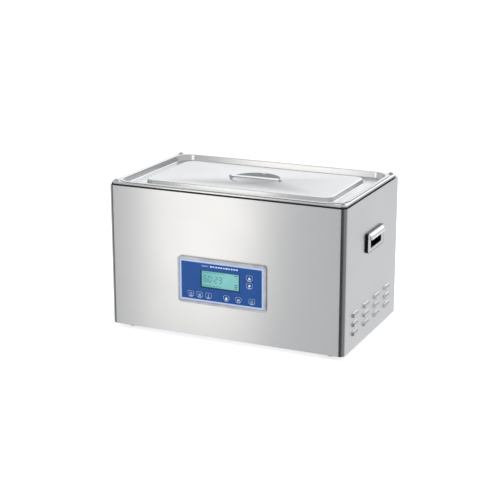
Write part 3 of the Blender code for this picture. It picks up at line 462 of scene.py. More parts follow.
def thicken(obj, thickness):
    modifier = obj.modifiers.new("thickness", "SOLIDIFY")
    modifier.thickness = thickness
    modifier.offset = -1
    modifier.use_even_offset = True
    return obj


def ease(obj, width, segments=2, angle=35):
    """Rounds an object's sharp edges and keeps its flats flat."""
    bevel = obj.modifiers.new("eased_edges", "BEVEL")
    bevel.width = width
    bevel.segments = segments
    bevel.limit_method = "ANGLE"
    bevel.angle_limit = radians(angle)
    bevel.harden_normals = True
    return obj


def settle(obj):
    """Applies an object's modifiers to its mesh."""
    bpy.context.view_layer.update()
    graph = bpy.context.evaluated_depsgraph_get()
    mesh = bpy.data.meshes.new_from_object(obj.evaluated_get(graph))
    obj.modifiers.clear()
    obj.data = mesh
    return obj


def carve(obj, cutter):
    """Cuts a throwaway object out of another one."""
    modifier = obj.modifiers.new("carve", "BOOLEAN")
    modifier.operation = "DIFFERENCE"
    modifier.object = cutter
    settle(obj)
    bpy.data.objects.remove(cutter)
    return obj


def cut(obj, bm, face, at=(0, 0, 0)):
    """Cuts a bmesh standing on a face out of an object."""
    return carve(obj, draw("cutter", bm, None, face, at))


def place(obj, body, *nodes):
    """Sets a piece riding on a body, in place of the named nodes."""
    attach(obj, body)
    if nodes:
        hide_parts(*nodes)
    return obj


# ---- casing -------------------------------------------------------------------------------------
def pressing(half, low, high, proud, end, columns=24, rows=10):
    """A pressed hood: flush along its top and at both ends, and proud along its open lower lip."""
    bm = bmesh.new()
    grid = []
    for row in range(rows + 1):
        fall = row / rows
        crown = sin(pi / 2 * min(1.0, fall / 0.6))
        line = []
        for column in range(columns + 1):
            x = half * sin(pi / 2 * (2 * column / columns - 1))
            share = min(1.0, (half - abs(x)) / end)
            rise = proud * crown * share**2 * (3 - 2 * share)
            line.append(bm.verts.new((x, high + (low - high) * fall, rise)))
        grid.append(line)
    for upper, lower in zip(grid, grid[1:]):
        for i in range(columns):
            bm.faces.new((upper[i], lower[i], lower[i + 1], upper[i + 1]))
    return bm


def casing_path():
    """The wrapped sheet in plan, from the left rear fold round the front to the right one."""
    inner, x, y = HALF_W - RETURN_FLANGE, HALF_W, HALF_D
    corners = [(-inner, y), (-x, y), (-x, -y), (x, -y), (x, y), (inner, y)]
    return fillet(corners, [REAR_BEND, FRONT_BEND, FRONT_BEND, REAR_BEND], 16)


def window(halves, clear, bm=None):
    """A block that cuts a window for a neck of that half width and height."""
    ends = [rounded(halves[0] + clear, halves[1] + clear, 0.004, z) for z in (-0.01, 0.01)]
    return skin(ends, True, True, bm=bm)


LOUVRE_HALF, LOUVRE_HIGH, LOUVRE_END = 0.0162, 0.0049, 0.0042
LOUVRE_PROUD = 0.0040
LOUVRES = [(-0.0975 + 0.0665 * column, 0.0350 + 0.0195 * row) for column in range(4) for row in range(3)]


def make_casing(finish):
    path = casing_path()
    bm = bmesh.new()
    rows = [[bm.verts.new((x, y, z)) for x, y in path] for z in (0, CASE_H)]
    for i in range(len(path) - 1):
        bm.faces.new((rows[0][i], rows[0][i + 1], rows[1][i + 1], rows[1][i]))
    casing = settle(thicken(draw("casing_sheet", bm, finish["walls"]), SHEET))
    for side, sign in (("right", 1), ("left", -1)):
        holes = bmesh.new()
        for x, y in LOUVRES:
            low, high = (sign * x - LOUVRE_HALF, y - LOUVRE_HIGH), (sign * x + LOUVRE_HALF, y + LOUVRE_HIGH)
            block((*low, -0.01), (*high, 0.01), holes)
        since = len(holes.verts)
        window(POCKET, 0.0008, holes)
        shift(holes, since, Matrix.Translation(spot_of(f"handle_pocket_{side}", side)))
        cut(casing, holes, side)
    cut(casing, window(BEZEL_NECK, 0.0004), "front", spot_of("panel_bezel", "front"))
    casing.data.set_sharp_from_angle(angle=radians(32))
    weighted = casing.modifiers.new("flat_faces", "WEIGHTED_NORMAL")
    weighted.keep_sharp = True
    settle(casing)
    place(casing, "bath", "outer_casing")
    for side, sign in (("right", 1), ("left", -1)):
        for number, (x, y) in enumerate(LOUVRES, 1):
            hood = pressing(LOUVRE_HALF, -LOUVRE_HIGH, LOUVRE_HIGH, LOUVRE_PROUD, LOUVRE_END)
            name, at = f"louvre_{side}_{number}", (sign * x, y, 0)
            louvre = draw(name, hood, finish["pressed"], side, at, smooth=80)
            place(settle(thicken(louvre, SHEET * 0.7)), "bath")


def make_handle(side, finish):
    """The black moulded pocket, and the steel plate whose hood runs into the finger hole."""
    low, high = seat(f"handle_pocket_{side}", side)
    at = spot_of(f"handle_pocket_{side}", side)
    half_x, half_y, proud = (high.x - low.x) / 2, (high.y - low.y) / 2, high.z
    rim, floor = 0.0006, proud - SHEET - GAP
    corners = [(0, GAP), (0, proud), (rim, proud), (rim, floor), (0.004, floor)]
    outside = fillet(corners, [0.0003, 0.0002, 0], 3)
    flare = 0.0004
    loops = [rounded(*POCKET, 0.0032, -0.0095)]
    loops.append(rounded(POCKET[0] + flare, POCKET[1] + flare, 0.0032 + flare, GAP))
    loops += rings((half_x, half_y, 0.006), outside)
    loops += [rounded(0.0430, 0.0150, 0.0030, floor), rounded(0.0422, 0.0142, 0.0025, -0.0080)]
    pocket = draw(f"finger_pocket_{side}", skin(loops, True, True), finish["gloss"], side, at)
    place(pocket, "bath", f"handle_pocket_{side}")

    edge = rim + GAP
    face = fillet([(0, floor + GAP), (0, proud), (0.003, proud)], [0.0004], 3)
    plate = skin(rings((half_x - edge, half_y - edge, 0.0050), face), True, True)
    plate = draw(f"grip_plate_{side}", plate, finish["pressed"], side, at)
    lip, top, half = 0.0068, 0.0188, 0.0455
    front = at + Vector((0, 0, proud))
    cut(plate, block((0.0045 - half, lip, -0.01), (half - 0.0045, top - 0.001, 0.01)), side, front)
    slot = skin([rounded(0.033, 0.0100, 0.003, z, 6) for z in (-0.01, 0.01)], True, True)
    cut(plate, slot, side, front - Vector((0, 0.0030, 0)))
    plate.data.set_sharp_from_angle(angle=radians(32))
    place(plate, "bath", f"handle_grip_{side}")
    rise = seat(f"handle_grip_{side}", side)[1].z - proud
    hood = pressing(half, lip, top, rise, 0.0065, 40, 16)
    # the hood's lighter steel carries painted light
    hood = draw(f"grip_hood_{side}", hood, finish["hood"], side, front, smooth=80)
    place(settle(thicken(hood, SHEET)), "bath")


# ---- deck, tank and lid -------------------------------------------------------------------------
def make_tank(finish):
    """Deck and tank from one sheet: a turned-down edge, a rolled mouth, a level mark and a rounded foot."""
    mouth = (LID_HIGH.x - 0.0065, (LID_HIGH.y - LID_LOW.y) / 2 - 0.0050, 0.035)
    edge = (DECK_HIGH.x, HALF_D - DECK_INSET, 0.0105)
    loops = rings(edge, fillet([(0, -DECK_ROLL), (0, 0), (0.0042, 0)], [DECK_ROLL - 0.0002], 8), 12)
    wall = [(-0.0020, 0), (0, 0), (0, -0.034), (0.0007, -0.035), (0, -0.036), (0, -TANK_DEPTH)]
    wall.append((0.034, -TANK_DEPTH))
    loops += rings(mouth, fillet(wall, [0.0015, 0, 0, 0, 0.020], 8), 12)
    tank = draw("tank_and_deck", skin(loops, cap_end=True), finish["deck"], "deck")
    settle(thicken(tank, SHEET))
    spot = (middle_of("drain_pipe", "deck").x, DRAIN_Y, -TANK_DEPTH)
    cut(tank, disc(0.008, -0.01, 0.01, 32), "deck", spot)
    tank.data.set_sharp_from_angle(angle=radians(32))
    place(tank, "bath", "tank")
    make_strainer(finish, spot)


def make_strainer(finish, spot):
    """A low perforated cap over the drain in the tank's floor."""
    dome = lathe([(0, 0.0022), (0.009, 0.0019), (0.012, 0.0003), (0, 0.0003)])
    cap = draw("drain_strainer", dome, finish["polished"], "deck", spot)
    holes = bmesh.new()
    for circle_radius, count in ((0.0, 1), (0.0035, 6), (0.0068, 12)):
        for number in range(count):
            angle = number * 2 * pi / count
            since = len(holes.verts)
            disc(0.0009, -0.01, 0.01, 10, holes)
            centre = Vector((circle_radius * cos(angle), circle_radius * sin(angle), 0))
            shift(holes, since, Matrix.Translation(centre))
    place(cut(cap, holes, "deck", spot), "bath")


DISH_RADIUS, DISH_DEPTH = 0.053, 0.0145


def make_lid(finish):
    """The pressed pan lid: flat flange, deep channel, raised field and a round dish for the fingers."""
    top = LID_HIGH.z - DECK_HIGH.z
    floor, field, steps = top - 0.013, top - 0.0033, 12
    base = (LID_HIGH.x, (LID_HIGH.y - LID_LOW.y) / 2, 0.0425)
    outer = [(0, top - 0.0004), (0.0003, top), (0.0086, top), (0.0114, floor), (0.0155, floor)]
    loops = rings(base, fillet(outer, [0, 0.0018, 0.0018], 5), steps)
    inner = [(-0.0040, floor), (0.0004, floor), (0.0026, field), (0.0090, field)]
    loops += rings((0.2125, 0.1070, 0.0250), fillet(inner, [0.0016, 0.0020], 5), steps)
    count = 4 * (steps + 1)
    dish, deep = DISH_RADIUS, DISH_DEPTH
    loops += [circle(dish + 0.0016, field, count), circle(dish + 0.0004, field - 0.0003, count)]
    for step in range(1, 13):
        angle = step / 13 * pi / 2
        loops.append(circle(dish * cos(angle), field - deep * sin(angle) ** 0.9, count))
    loops.append(circle(0.003, field - deep, count))
    lid = draw("lid_pressing", skin(loops, cap_end=True), finish["lid"], "deck", smooth=30)
    place(settle(thicken(lid, 0.0008)), "lid", "lid")
    make_strap(finish)


def make_strap(finish):
    """The bowed strap across the dish, with rounded ends and turned edges."""
    low, high = seat("lid_strap", "deck")
    reach, half, rise, ends = high.x, (high.y - low.y) / 2, high.z - low.z - SHEET, 0.0530
    foot, corner, thickness = low.z, 0.0065, 0.0012
    bm = bmesh.new()
    rows = []
    for step in range(61):
        x = reach * sin(pi / 2 * (step / 30 - 1))
        past = max(0.0, abs(x) - (reach - corner))
        width = half - corner + max(0.0, corner**2 - past**2) ** 0.5
        bow = rise * cos(pi / 2 * min(1.0, abs(x) / ends))
        row = []
        for across in (-1.0, -0.93, -0.8, -0.4, 0.0, 0.4, 0.8, 0.93, 1.0):
            turned = 0.00035 * max(0.0, (abs(across) - 0.8) / 0.2) ** 2
            level = foot + thickness + bow - turned * (bow / rise)
            row.append(bm.verts.new((x, width * across, level)))
        rows.append(row)
    for near, far in zip(rows, rows[1:]):
        for i in range(len(near) - 1):
            bm.faces.new((near[i], far[i], far[i + 1], near[i + 1]))
    strap = settle(thicken(draw("strap_handle", bm, finish["polished"], "deck", smooth=40), thickness))
    strap = settle(ease(strap, 0.0003, 2, 50))
    place(strap, "lid", "lid_strap")
    for side in ("left", "right"):
        node = f"lid_rivet_{side}"
        top = seat(node, "deck")[1].z
        dome = ((0, 0), (0.0014, 0.0001), (0.0028, 0.0007), (0.0034, 0.0014), (0, 0.0014))
        head = lathe([(radius, top - below) for radius, below in dome], 28)
        rivet = draw(f"strap_rivet_{side}", head, finish["polished"], "deck", spot_of(node, "deck"))
        place(rivet, "lid", node)


CORNERS = ("front_left", "front_right", "rear_left", "rear_right")


def make_studs(finish):
    """Domed nuts on washers, with a short hexagon under each dome."""
    for name in CORNERS:
        spot = spot_of(f"corner_stud_{name}", "deck")
        bm = lathe([(0, GAP), (0.0060, GAP), (0.0060, 0.0010), (0.0056, 0.0013), (0, 0.0013)], 36)
        prism(hexagon(0.0050), 0.0013, 0.0024, bm)
        dome = [(0.0043 * cos(a), 0.0024 + 0.0025 * sin(a)) for a in (k * pi / 14 for k in range(7))]
        lathe([(0, 0.0024), *dome, (0, 0.0049)], 36, bm)
        nut = draw(f"dome_nut_{name}", bm, finish["polished"], "deck", spot)
        place(nut, "bath", f"corner_stud_{name}")


def make_gasket(finish):
    low, high = seat("deck_gasket", "case")
    base = (high.x, (high.y - low.y) / 2, 0.0097)
    profile = fillet([(0, low.z), (0, high.z), (0.005, high.z), (0.005, low.z)], [0.0008, 0], 4)
    profile = [(0.005, low.z), (0.0007, low.z)] + profile[1:-1]
    strip = skin(rings(base, profile), ring=True)
    place(draw("gasket_strip", strip, finish["rubber"]), "bath", "deck_gasket")


def make_feet(finish):
    for name in CORNERS:
        low, high = seat(f"foot_{name}", "case")
        spot = spot_of(f"foot_{name}", "case")
        radius, sole = (high.x - low.x) / 2, low.z
        profile = [(0, high.z), (radius, high.z), (radius, -0.0028)]
        profile += [(radius - 0.0006, -0.0034), (radius, -0.0040)]
        profile += [(radius - 0.0014, sole + 0.0007), (radius - 0.0021, sole)]
        profile += [(0.0052, sole), (0.0048, sole + 0.0008), (0.0046, sole + 0.0036), (0, sole + 0.0036)]
        foot = draw(f"rubber_foot_{name}", lathe(profile, 44), finish["rubber"], "case", spot)
        place(foot, "bath", f"foot_{name}")
        head = ((0, 0.0037), (0.0036, 0.0037), (0.0030, 0.0024), (0, 0.0020))
        screw = lathe([(wide, sole + up) for wide, up in head], 24)
        place(draw(f"foot_screw_{name}", screw, finish["zinc"], "case", spot), "bath")


# ---- key panel ----------------------------------------------------------------------------------
PRINT = 0.00006  # thickness of the printed marks
KEYS = ("key_up", "key_down", "key_time", "key_power", "key_heat", "key_start", "key_pulse", "key_standby")


def arc(radius, start, end, steps=14, centre=(0, 0)):
    """Points on an arc between two angles in degrees."""
    angles = (radians(start + (end - start) * k / steps) for k in range(steps + 1))
    return [(centre[0] + radius * cos(a), centre[1] + radius * sin(a)) for a in angles]


def stroke(points, width, bm):
    """A printed line of constant width along flat points."""
    points = [Vector(point) for point in points]
    sides = ([], [])
    for i, point in enumerate(points):
        ahead, behind = points[min(i + 1, len(points) - 1)], points[max(i - 1, 0)]
        along = (ahead - behind).normalized()
        across = Vector((-along.y, along.x)) * width / 2
        sides[0].append(point + across)
        sides[1].append(point - across)
    prism(sides[1] + sides[0][::-1], 0, PRINT, bm)


def bar(x, y, width, height, bm):
    block((x - width / 2, y - height / 2, 0), (x + width / 2, y + height / 2, PRINT), bm)


def icon(name, bm):
    """A simple symbol for each key, a few millimetres across."""
    if name in ("key_up", "key_down"):
        tip = 0.0030 if name == "key_up" else -0.0030
        arrow = [(-0.0032, -tip * 0.6), (0.0032, -tip * 0.6), (0, tip)]
        prism(arrow if tip > 0 else arrow[::-1], 0, PRINT, bm)
    elif name == "key_time":
        stroke(arc(0.0030, 0, 348, 24), 0.0005, bm)
        stroke([(0, 0.0019), (0, 0), (0.0015, -0.0006)], 0.0005, bm)
    elif name == "key_power":
        wave = [(-0.0030 + k * 0.0005, 0.0006 * sin(k * pi / 3)) for k in range(13)]
        for height in (-0.0018, 0.0, 0.0018):
            stroke([(x, height + y) for x, y in wave], 0.0005, bm)
    elif name == "key_heat":
        stroke(arc(0.0012, 60, -240, 16, (0, -0.0020)), 0.0005, bm)
        stroke([(-0.0006, -0.0009), (-0.0006, 0.0028), (0.0006, 0.0028), (0.0006, -0.0009)], 0.0005, bm)
    elif name == "key_start":
        drop = arc(0.0022, -200, 20, 16, (0, -0.0008))
        prism(drop + [(0, 0.0034)], 0, PRINT, bm)
    elif name == "key_pulse":
        prism([(-0.0034, 0), (-0.0008, -0.0019), (-0.0008, 0.0019)], 0, PRINT, bm)
        prism([(0.0008, -0.0019), (0.0034, 0), (0.0008, 0.0019)], 0, PRINT, bm)
    else:
        stroke(arc(0.0026, 125, 415, 20), 0.0005, bm)
        bar(0, 0.0020, 0.0005, 0.0026, bm)


def make_keys(finish):
    """Each key is a shallow embossed cap with a printed outline, symbol and caption that travel with it."""
    for name in KEYS:
        low, high = seat(name, "front")
        spot = spot_of(name, "front")
        half_x, half_y = (high.x - low.x) / 2 - KEY_FLANGE, (high.y - low.y) / 2 - KEY_FLANGE
        top, back = high.z, seat("panel_overlay", "front")[0].z - GAP
        stem = [(0.0010, low.z), (0.0010, 0.0010), (-0.0005, 0.0010), (-0.0005, back)]
        cap = fillet([(0, back), (0, top - 0.0002), (0.0022, top)], [0.0003], 4)
        loops = rings((half_x, half_y, 0.0018), stem + list(cap), 6)
        key = draw(f"{name}_cap", skin(loops, True, True), finish["key"], "front", spot)
        body = f"{name}_press"
        place(key, body, name)
        face = spot + Vector((0, 0, top))
        marks = bmesh.new()
        icon(name, marks)
        bright = "bright" if name in ("key_up", "key_down", "key_start", "key_pulse") else "print"
        place(draw(f"{name}_symbol", marks, finish[bright], "front", face), body)
        trim = bmesh.new()
        outline(half_x - 0.0006, half_y - 0.0006, name in ("key_start", "key_pulse"), trim)
        for offset, width in ((-0.0022, 0.0032), (0.0019, 0.0038)):
            bar(offset, 0.0014 - half_y, width, 0.0009, trim)
        place(draw(f"{name}_trim", trim, finish["print"], "front", face), body)


def outline(half_x, half_y, round_key, bm):
    """The printed line round a key, above its caption."""
    low, line = 0.0022, 0.0004
    corner = 0.0045 if round_key else 0.0013
    outer = rounded(half_x, half_y - low / 2, corner, 0, 6)
    inner = rounded(half_x - line, half_y - low / 2 - line, corner - line / 2, 0, 6)
    since = len(bm.verts)
    band(outer, inner, 0, PRINT, bm)
    shift(bm, since, Matrix.Translation((0, low / 2, 0)))


def make_bezel(finish):
    low, high = seat("panel_bezel", "front")
    at, proud = spot_of("panel_bezel", "front"), high.z
    film_low, film_high = seat("panel_overlay", "front")
    opening = ((film_high.x - film_low.x) / 2 + GAP, (film_high.y - film_low.y) / 2 + GAP, 0.002)
    outer = ((high.x - low.x) / 2, (high.y - low.y) / 2, 0.0075)
    ledge = film_low.z - GAP
    loops = rings(outer, fillet([(0, GAP), (0, proud), (0.0026, proud)], [0.0014], 7), 10)
    inside = [(-0.0008, proud), (0, proud - 0.0005), (0, ledge), (0.0025, ledge), (0.0025, low.z)]
    loops += rings(opening, fillet(inside, [0.0003, 0, 0], 3), 10)
    loops += [rounded(*BEZEL_NECK, 0.0038, low.z), rounded(*BEZEL_NECK, 0.0038, GAP)]
    place(draw("bezel_frame", skin(loops, ring=True), finish["bezel"], "front", at), "bath", "panel_bezel")
    return at + Vector((0, 0, film_high.z)), (film_high - film_low) / 2


def make_marks(finish, at, half):
    """What is printed on the film: a pale border and a plain heading."""
    outer = rounded(half.x - 0.0001, half.y - 0.0001, 0.0016, 0, 6)
    inner = rounded(half.x - 0.0043, half.y - 0.0043, 0.0010, 0, 6)
    border = band(outer, inner, 0, PRINT)
    place(draw("film_border", border, finish["border"], "front", at), "bath")
    display = middle_of("lcd_window", "front")
    heading = bmesh.new()
    start, level = display.x - at.x - 0.0415, half.y - 0.0103
    stroke([(start + k * 0.0006, level + 0.0014 * sin(k * pi / 5)) for k in range(26)], 0.0007, heading)
    for number in range(11):
        width = 0.0036 if number % 3 else 0.0052
        bar(start + 0.0215 + number * 0.0058, level, width, 0.0024 if number % 2 else 0.0030, heading)
    place(draw("film_heading", heading, finish["print"], "front", at), "bath")


SEGMENTS = {"0": "abcdef", "2": "abged", "3": "abgcd", "6": "afgedc"}


def digit(value, x, y, height, bm):
    """A seven-segment numeral with its lower left corner at x, y."""
    width, thick = height * 0.52, height * 0.12
    left, right, low, mid, high = x, x + width, y, y + height / 2, y + height
    gap = thick * 0.6
    ends = {
        "a": ((left + gap, high), (right - gap, high)),
        "b": ((right, high - gap), (right, mid + gap)),
        "c": ((right, mid - gap), (right, low + gap)),
        "d": ((left + gap, low), (right - gap, low)),
        "e": ((left, mid - gap), (left, low + gap)),
        "f": ((left, high - gap), (left, mid + gap)),
        "g": ((left + gap, mid), (right - gap, mid)),
    }
    for segment in SEGMENTS[value]:
        stroke(ends[segment], thick, bm)


def make_display(finish):
    """The display: a dark surround, the lit field, its numerals and indicator bars, and a painted shadow
    round the window on the film, heavier below.
    """
    low, high = seat("lcd_window", "front")
    at = spot_of("lcd_window", "front")
    half_x, half_y = (high.x - low.x) / 2, (high.y - low.y) / 2
    edge = [(0, low.z), (0, low.z + 0.0002), (0.0002, low.z + 0.0003)]
    field = skin(rings((half_x, half_y, 0.0008), edge, 3), True, True)
    place(draw("display_field", field, finish["display"], "front", at), "bath", "lcd_window")
    level = low.z + 0.0003
    inner = rounded(half_x - 0.0012, half_y - 0.0009, 0.0004, 0, 3)
    surround = band(rounded(half_x, half_y, 0.0008, 0, 3), inner, 0, 0.0004)
    front = at + Vector((0, 0, level))
    place(draw("display_surround", surround, finish["segments"], "front", front), "bath")
    # a navy band on the film round the display, shifted down: painted shadow of the display's recess
    outer = [Vector((p.x, p.y - 0.0008, 0)) for p in rounded(half_x + 0.0018, half_y + 0.0012, 0.0010, 0, 3)]
    recess = band(outer, rounded(half_x, half_y, 0.0008, 0, 3), 0, PRINT)
    film_top = seat("panel_overlay", "front")[1].z
    place(draw("display_recess_shadow", recess, finish["navy"], "front", at + Vector((0, 0, film_top))), "bath")
    place(draw("display_marks", display_marks(half_y), finish["segments"], "front", front), "bath")


def display_marks(half_y):
    """Four numerals, their colon and rows of indicator bars."""
    marks = bmesh.new()
    tall, base, step = 0.0125, -0.0058, 0.0098
    for start, pair in ((-0.0370, "60"), (-0.0130, "23")):
        for number, value in enumerate(pair):
            digit(value, start + number * step, base, tall, marks)
    for height in (0.25, 0.72):
        bar(-0.0166, base + tall * height, 0.0016, 0.0016, marks)
    for number in range(8):
        bar(-0.036 + number * 0.0062, half_y - 0.0036, 0.0040, 0.0009, marks)
    for number in range(6):
        bar(-0.036 + number * 0.0070, -half_y + 0.0040, 0.0046, 0.0010, marks)
    for y, width in ((0.0138, 0.0070), (-0.0052, 0.0064), (-0.0092, 0.0070), (-0.0132, 0.0058)):
        bar(0.0355, y, width, 0.0019, marks)
    return marks


# ---- rear ---------------------------------------------------------------------------------------
def screw_heads(name, places, face, level, finish, radius=0.0032):
    """Pan-head screws with a cross recess, as one piece."""
    heads, crosses = bmesh.new(), bmesh.new()
    dome = [(radius * cos(a), radius * 0.62 * sin(a)) for a in (k * pi / 12 for k in range(6))]
    for x, y in places:
        since = len(heads.verts)
        lathe([(0, 0), *dome, (0, radius * 0.62)], 28, heads)
        shift(heads, since, Matrix.Translation((x, y, level)))
        long, thin, deep = radius * 0.55, radius * 0.13, radius * 0.30
        arm = [(long, -thin), (long, thin), (thin, thin)]
        cross = [(x + a, y + b) for a, b in arm] + [(x - b, y + a) for a, b in arm]
        cross += [(x - a, y - b) for a, b in arm] + [(x + b, y - a) for a, b in arm]
        prism(cross, level + deep, level + radius, crosses)
    screws = draw(name, heads, finish["zinc"], face)
    place(cut(screws, crosses, face), "bath")


def make_rear(finish):
    """The panel's screws, the fan's finger guard with its own, and a blank rating plate."""
    low, high = seat("rear_panel", "rear")
    level = high.z
    across = [low.x + 0.022, (low.x + high.x) / 2 - 0.05, (low.x + high.x) / 2 + 0.05, high.x - 0.022]
    rows = [(x, y) for x in across for y in (low.y + 0.012, high.y - 0.012)]
    rows += [(x, (low.y + high.y) / 2) for x in (across[0], across[-1])]
    screw_heads("rear_screws", rows, "rear", level, finish)
    fan = middle_of("fan_frame", "rear")
    guard = bmesh.new()
    wire, lift = 0.0009, level + 0.0030
    for radius in (0.0110, 0.0190, 0.0270, 0.0345):
        tube([(fan.x + x, fan.y + y, lift) for x, y in arc(radius, 0, 352.5, 47)], wire, 8, True, guard)
    corners = []
    for number in range(4):
        angle = pi / 4 + number * pi / 2
        tip = Vector((fan.x + 0.0500 * cos(angle), fan.y + 0.0500 * sin(angle)))
        corners.append(tuple(tip))
        spoke = []
        for reach, height in ((0.009, lift - wire), (0.036, lift - wire), (0.041, level + wire)):
            spoke.append((fan.x + reach * cos(angle), fan.y + reach * sin(angle), height))
        tube([*spoke, (*tip, level + wire)], wire, 8, False, guard)
    place(draw("fan_finger_guard", guard, finish["polished"], "rear"), "bath")
    screw_heads("fan_guard_screws", corners, "rear", level + 2 * wire, finish, 0.0026)
    edge = [(0, level + 0.0001), (0, level + 0.0005), (0.0004, level + 0.0007)]
    plate = skin(rings((0.030, 0.020, 0.002), edge, 5), True, True)
    place(draw("blank_rating_plate", plate, finish["alloy"], "rear", (0.03, CASE_H * 0.62, 0)), "bath")


def make_fan(finish):
    """Seven swept blades on a domed hub."""
    low, high = seat("fan_rotor", "rear")
    centre = Vector(((low.x + high.x) / 2, middle_of("fan_frame", "rear").y, 0))
    back = low.z + 0.0046
    hub = fillet([(0, high.z), (0.0165, high.z), (0.0165, back), (0, back)], [0.0022, 0], 5)
    bm = lathe([(0, high.z), *[(r, z) for r, z in hub[1:-1]], (0, back)], 40)
    disc(0.0017, low.z, back, 16, bm)
    middle, sweep = (back + high.z) / 2, 0.0068
    for number in range(7):
        loops = []
        for step in range(7):
            radius = 0.0158 + step * 0.0031
            lean = number * 2 * pi / 7 + 0.10 * (step / 6) ** 2
            chord = 0.20 + 0.10 * step / 6
            section = []
            for side in (0.0005, -0.0005):
                spread = [k / 5 - 0.5 for k in range(6)][:: 1 if side > 0 else -1]
                for share in spread:
                    angle = lean + share * chord * 2.2
                    rise = middle - share * 2 * sweep * (1 - 0.18 * step / 6) + side
                    section.append(Vector((radius * cos(angle), radius * sin(angle), rise)))
            loops.append(section)
        skin(loops, True, True, bm=bm)
    place(draw("fan_impeller", bm, finish["black"], "rear", centre), "fan", "fan_rotor")


def make_valve(finish):
    """The valve's body with wrench flats and a stem boss."""
    low, high = seat("valve_body", "rear")
    at = spot_of("drain_nozzle", "rear")
    start, end = low.z, high.z
    ball = (start + end) / 2 - 0.0007
    half = [(0.0065, 0), (0.0112, 0), (0.0112, 0.0080), (0.0122, ball - 0.0060 - start)]
    half.append((0.0142, ball - 0.0025 - start))
    outside = [(radius, start + along) for radius, along in half]
    outside += [(radius, end - along) for radius, along in half[::-1]]
    bm = lathe(outside, 48)
    for near in (start + 0.0004, end - 0.0070):
        band(hexagon(0.0135), hexagon(0.0066), near, near + 0.0066, bm)
    since = len(bm.verts)
    boss = [(0.0036, 0.0125), (0.0068, 0.0125), (0.0068, 0.0185), (0.0058, 0.0205), (0.0036, 0.0205)]
    lathe(boss, 32, bm)
    shift(bm, since, Matrix.Translation((0, 0, ball)) @ Matrix.Rotation(-pi / 2, 4, "X"))
    place(draw("valve_casting", bm, finish["brass"], "rear", at), "bath", "valve_body")


def make_nozzle(finish):
    """The hose nozzle: a round collar and three barbs."""
    low, high = seat("drain_nozzle", "rear")
    at = spot_of("drain_nozzle", "rear")
    barb = [(0.0045, low.z), (0.0128, low.z), (0.0128, low.z + 0.0024), (0.0100, low.z + 0.0030)]
    barb.append((0.0062, low.z + 0.0034))
    for ridge in range(3):
        z = low.z + 0.0045 + ridge * 0.0042
        barb += [(0.0062, z), (0.0078, z + 0.0005), (0.0077, z + 0.0010), (0.0063, z + 0.0040)]
    barb += [(0.0058, high.z), (0.0045, high.z)]
    place(draw("hose_nozzle", lathe(barb, 44), finish["brass"], "rear", at), "bath", "drain_nozzle")


def make_lever_grip(finish):
    """The vinyl sleeve dipped over the lever's end."""
    low, high = seat("lever_sleeve", "rear")
    middle, reach = (low + high) / 2, (high.x - low.x) / 2
    loops = []
    for step in range(17):
        share = 2 * step / 16 - 1
        swell = (1 - abs(share) ** 5) ** 0.5 if abs(share) < 1 else 0.0
        half_y, half_z = 0.0018 + 0.0018 * swell, 0.0066 + 0.0026 * swell
        flat = rounded(half_y, half_z, half_y * 0.95, 0, 6)
        loops.append([Vector((share * reach, p.x, p.y)) for p in flat])
    grip = draw("lever_grip", skin(loops, True, True), finish["vinyl"], "rear", middle)
    place(grip, "drain_valve", "lever_sleeve")


def make_switch_marks(finish):
    """A bar and a ring on the rocker's two ends."""
    low, high = seat("switch_rocker", "rear")
    centre = (low + high) / 2
    tilt = Matrix.Rotation(radians(11), 4, "X")
    for name, sign in (("on", 1), ("off", -1)):
        marks = bmesh.new()
        if name == "on":
            bar(0, 0.0044, 0.0006, 0.0026, marks)
        else:
            stroke(arc(0.0013, 0, 350, 20, (0, -0.0044)), 0.0005, marks)
        slope = Matrix.Translation((0, 0, 0.0020)) @ Matrix.Rotation(sign * radians(10.9), 4, "X")
        at = Vector((centre.x, middle_of("switch_housing", "rear").y, 0))
        place(draw(f"rocker_mark_{name}", marks, finish["bright"], "rear", at, tilt @ slope), "mains_rocker")


def make_base_screws(finish):
    low, high = seat("base_plate", "case")
    inset = 0.020
    across, along = (low.x + inset, 0, high.x - inset), (low.y + 0.010, high.y - 0.010)
    spots = [(x, y) for x in across for y in along]
    heads = bmesh.new()
    for x, y in spots:
        since = len(heads.verts)
        lathe([(0, 0), (0.0034, 0), (0.0030, -0.0012), (0.0016, -0.0019), (0, -0.0020)], 24, heads)
        shift(heads, since, Matrix.Translation((x, y, low.z)))
    place(draw("base_screws", heads, finish["zinc"]), "bath")


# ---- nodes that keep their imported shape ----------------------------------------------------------
KEPT = {
    "walls": ["rear_panel"],
    "blue": ["panel_overlay"],
    "zinc": ["base_plate", "top_frame", "lever_nut"],
    "polished": ["drain_pipe", "valve_ball", "valve_lever"],
    "brass": ["temperature_probe"],
    "alloy": ["heat_sink"],
    "transducer": [f"transducer_{row}_{number}" for row in ("front", "rear") for number in (1, 2, 3)],
    "board": ["control_board", "generator_board"],
    "winding": ["output_coil"],
    "silicone": ["heater_pad_left", "heater_pad_right"],
    "black": ["lcd_module", "fan_frame", "mains_inlet", "switch_housing", "switch_rocker"],
}
EASED = {
    "base_plate": 0.0004,
    "heat_sink": 0.0003,
    "mains_inlet": 0.0004,
    "switch_housing": 0.0004,
    "switch_rocker": 0.0004,
    "valve_lever": 0.0005,
    "lever_nut": 0.0003,
}


def refinish_kept_nodes(finish):
    for slot, names in KEPT.items():
        for name in names:
            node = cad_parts[name]
            node.data.materials.clear()
            node.data.materials.append(finish[slot])
    for name, width in EASED.items():
        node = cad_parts[name]
        weld = node.modifiers.new("joined_corners", "WELD")
        weld.merge_threshold = 0.00001
        ease(node, width, 2, 40)


# ---- studio -------------------------------------------------------------------------------------
OVERHEAD_AT, OVERHEAD_TARGET = Vector((-0.3, -0.4, 2.2)), Vector((0, 0, 0.2))


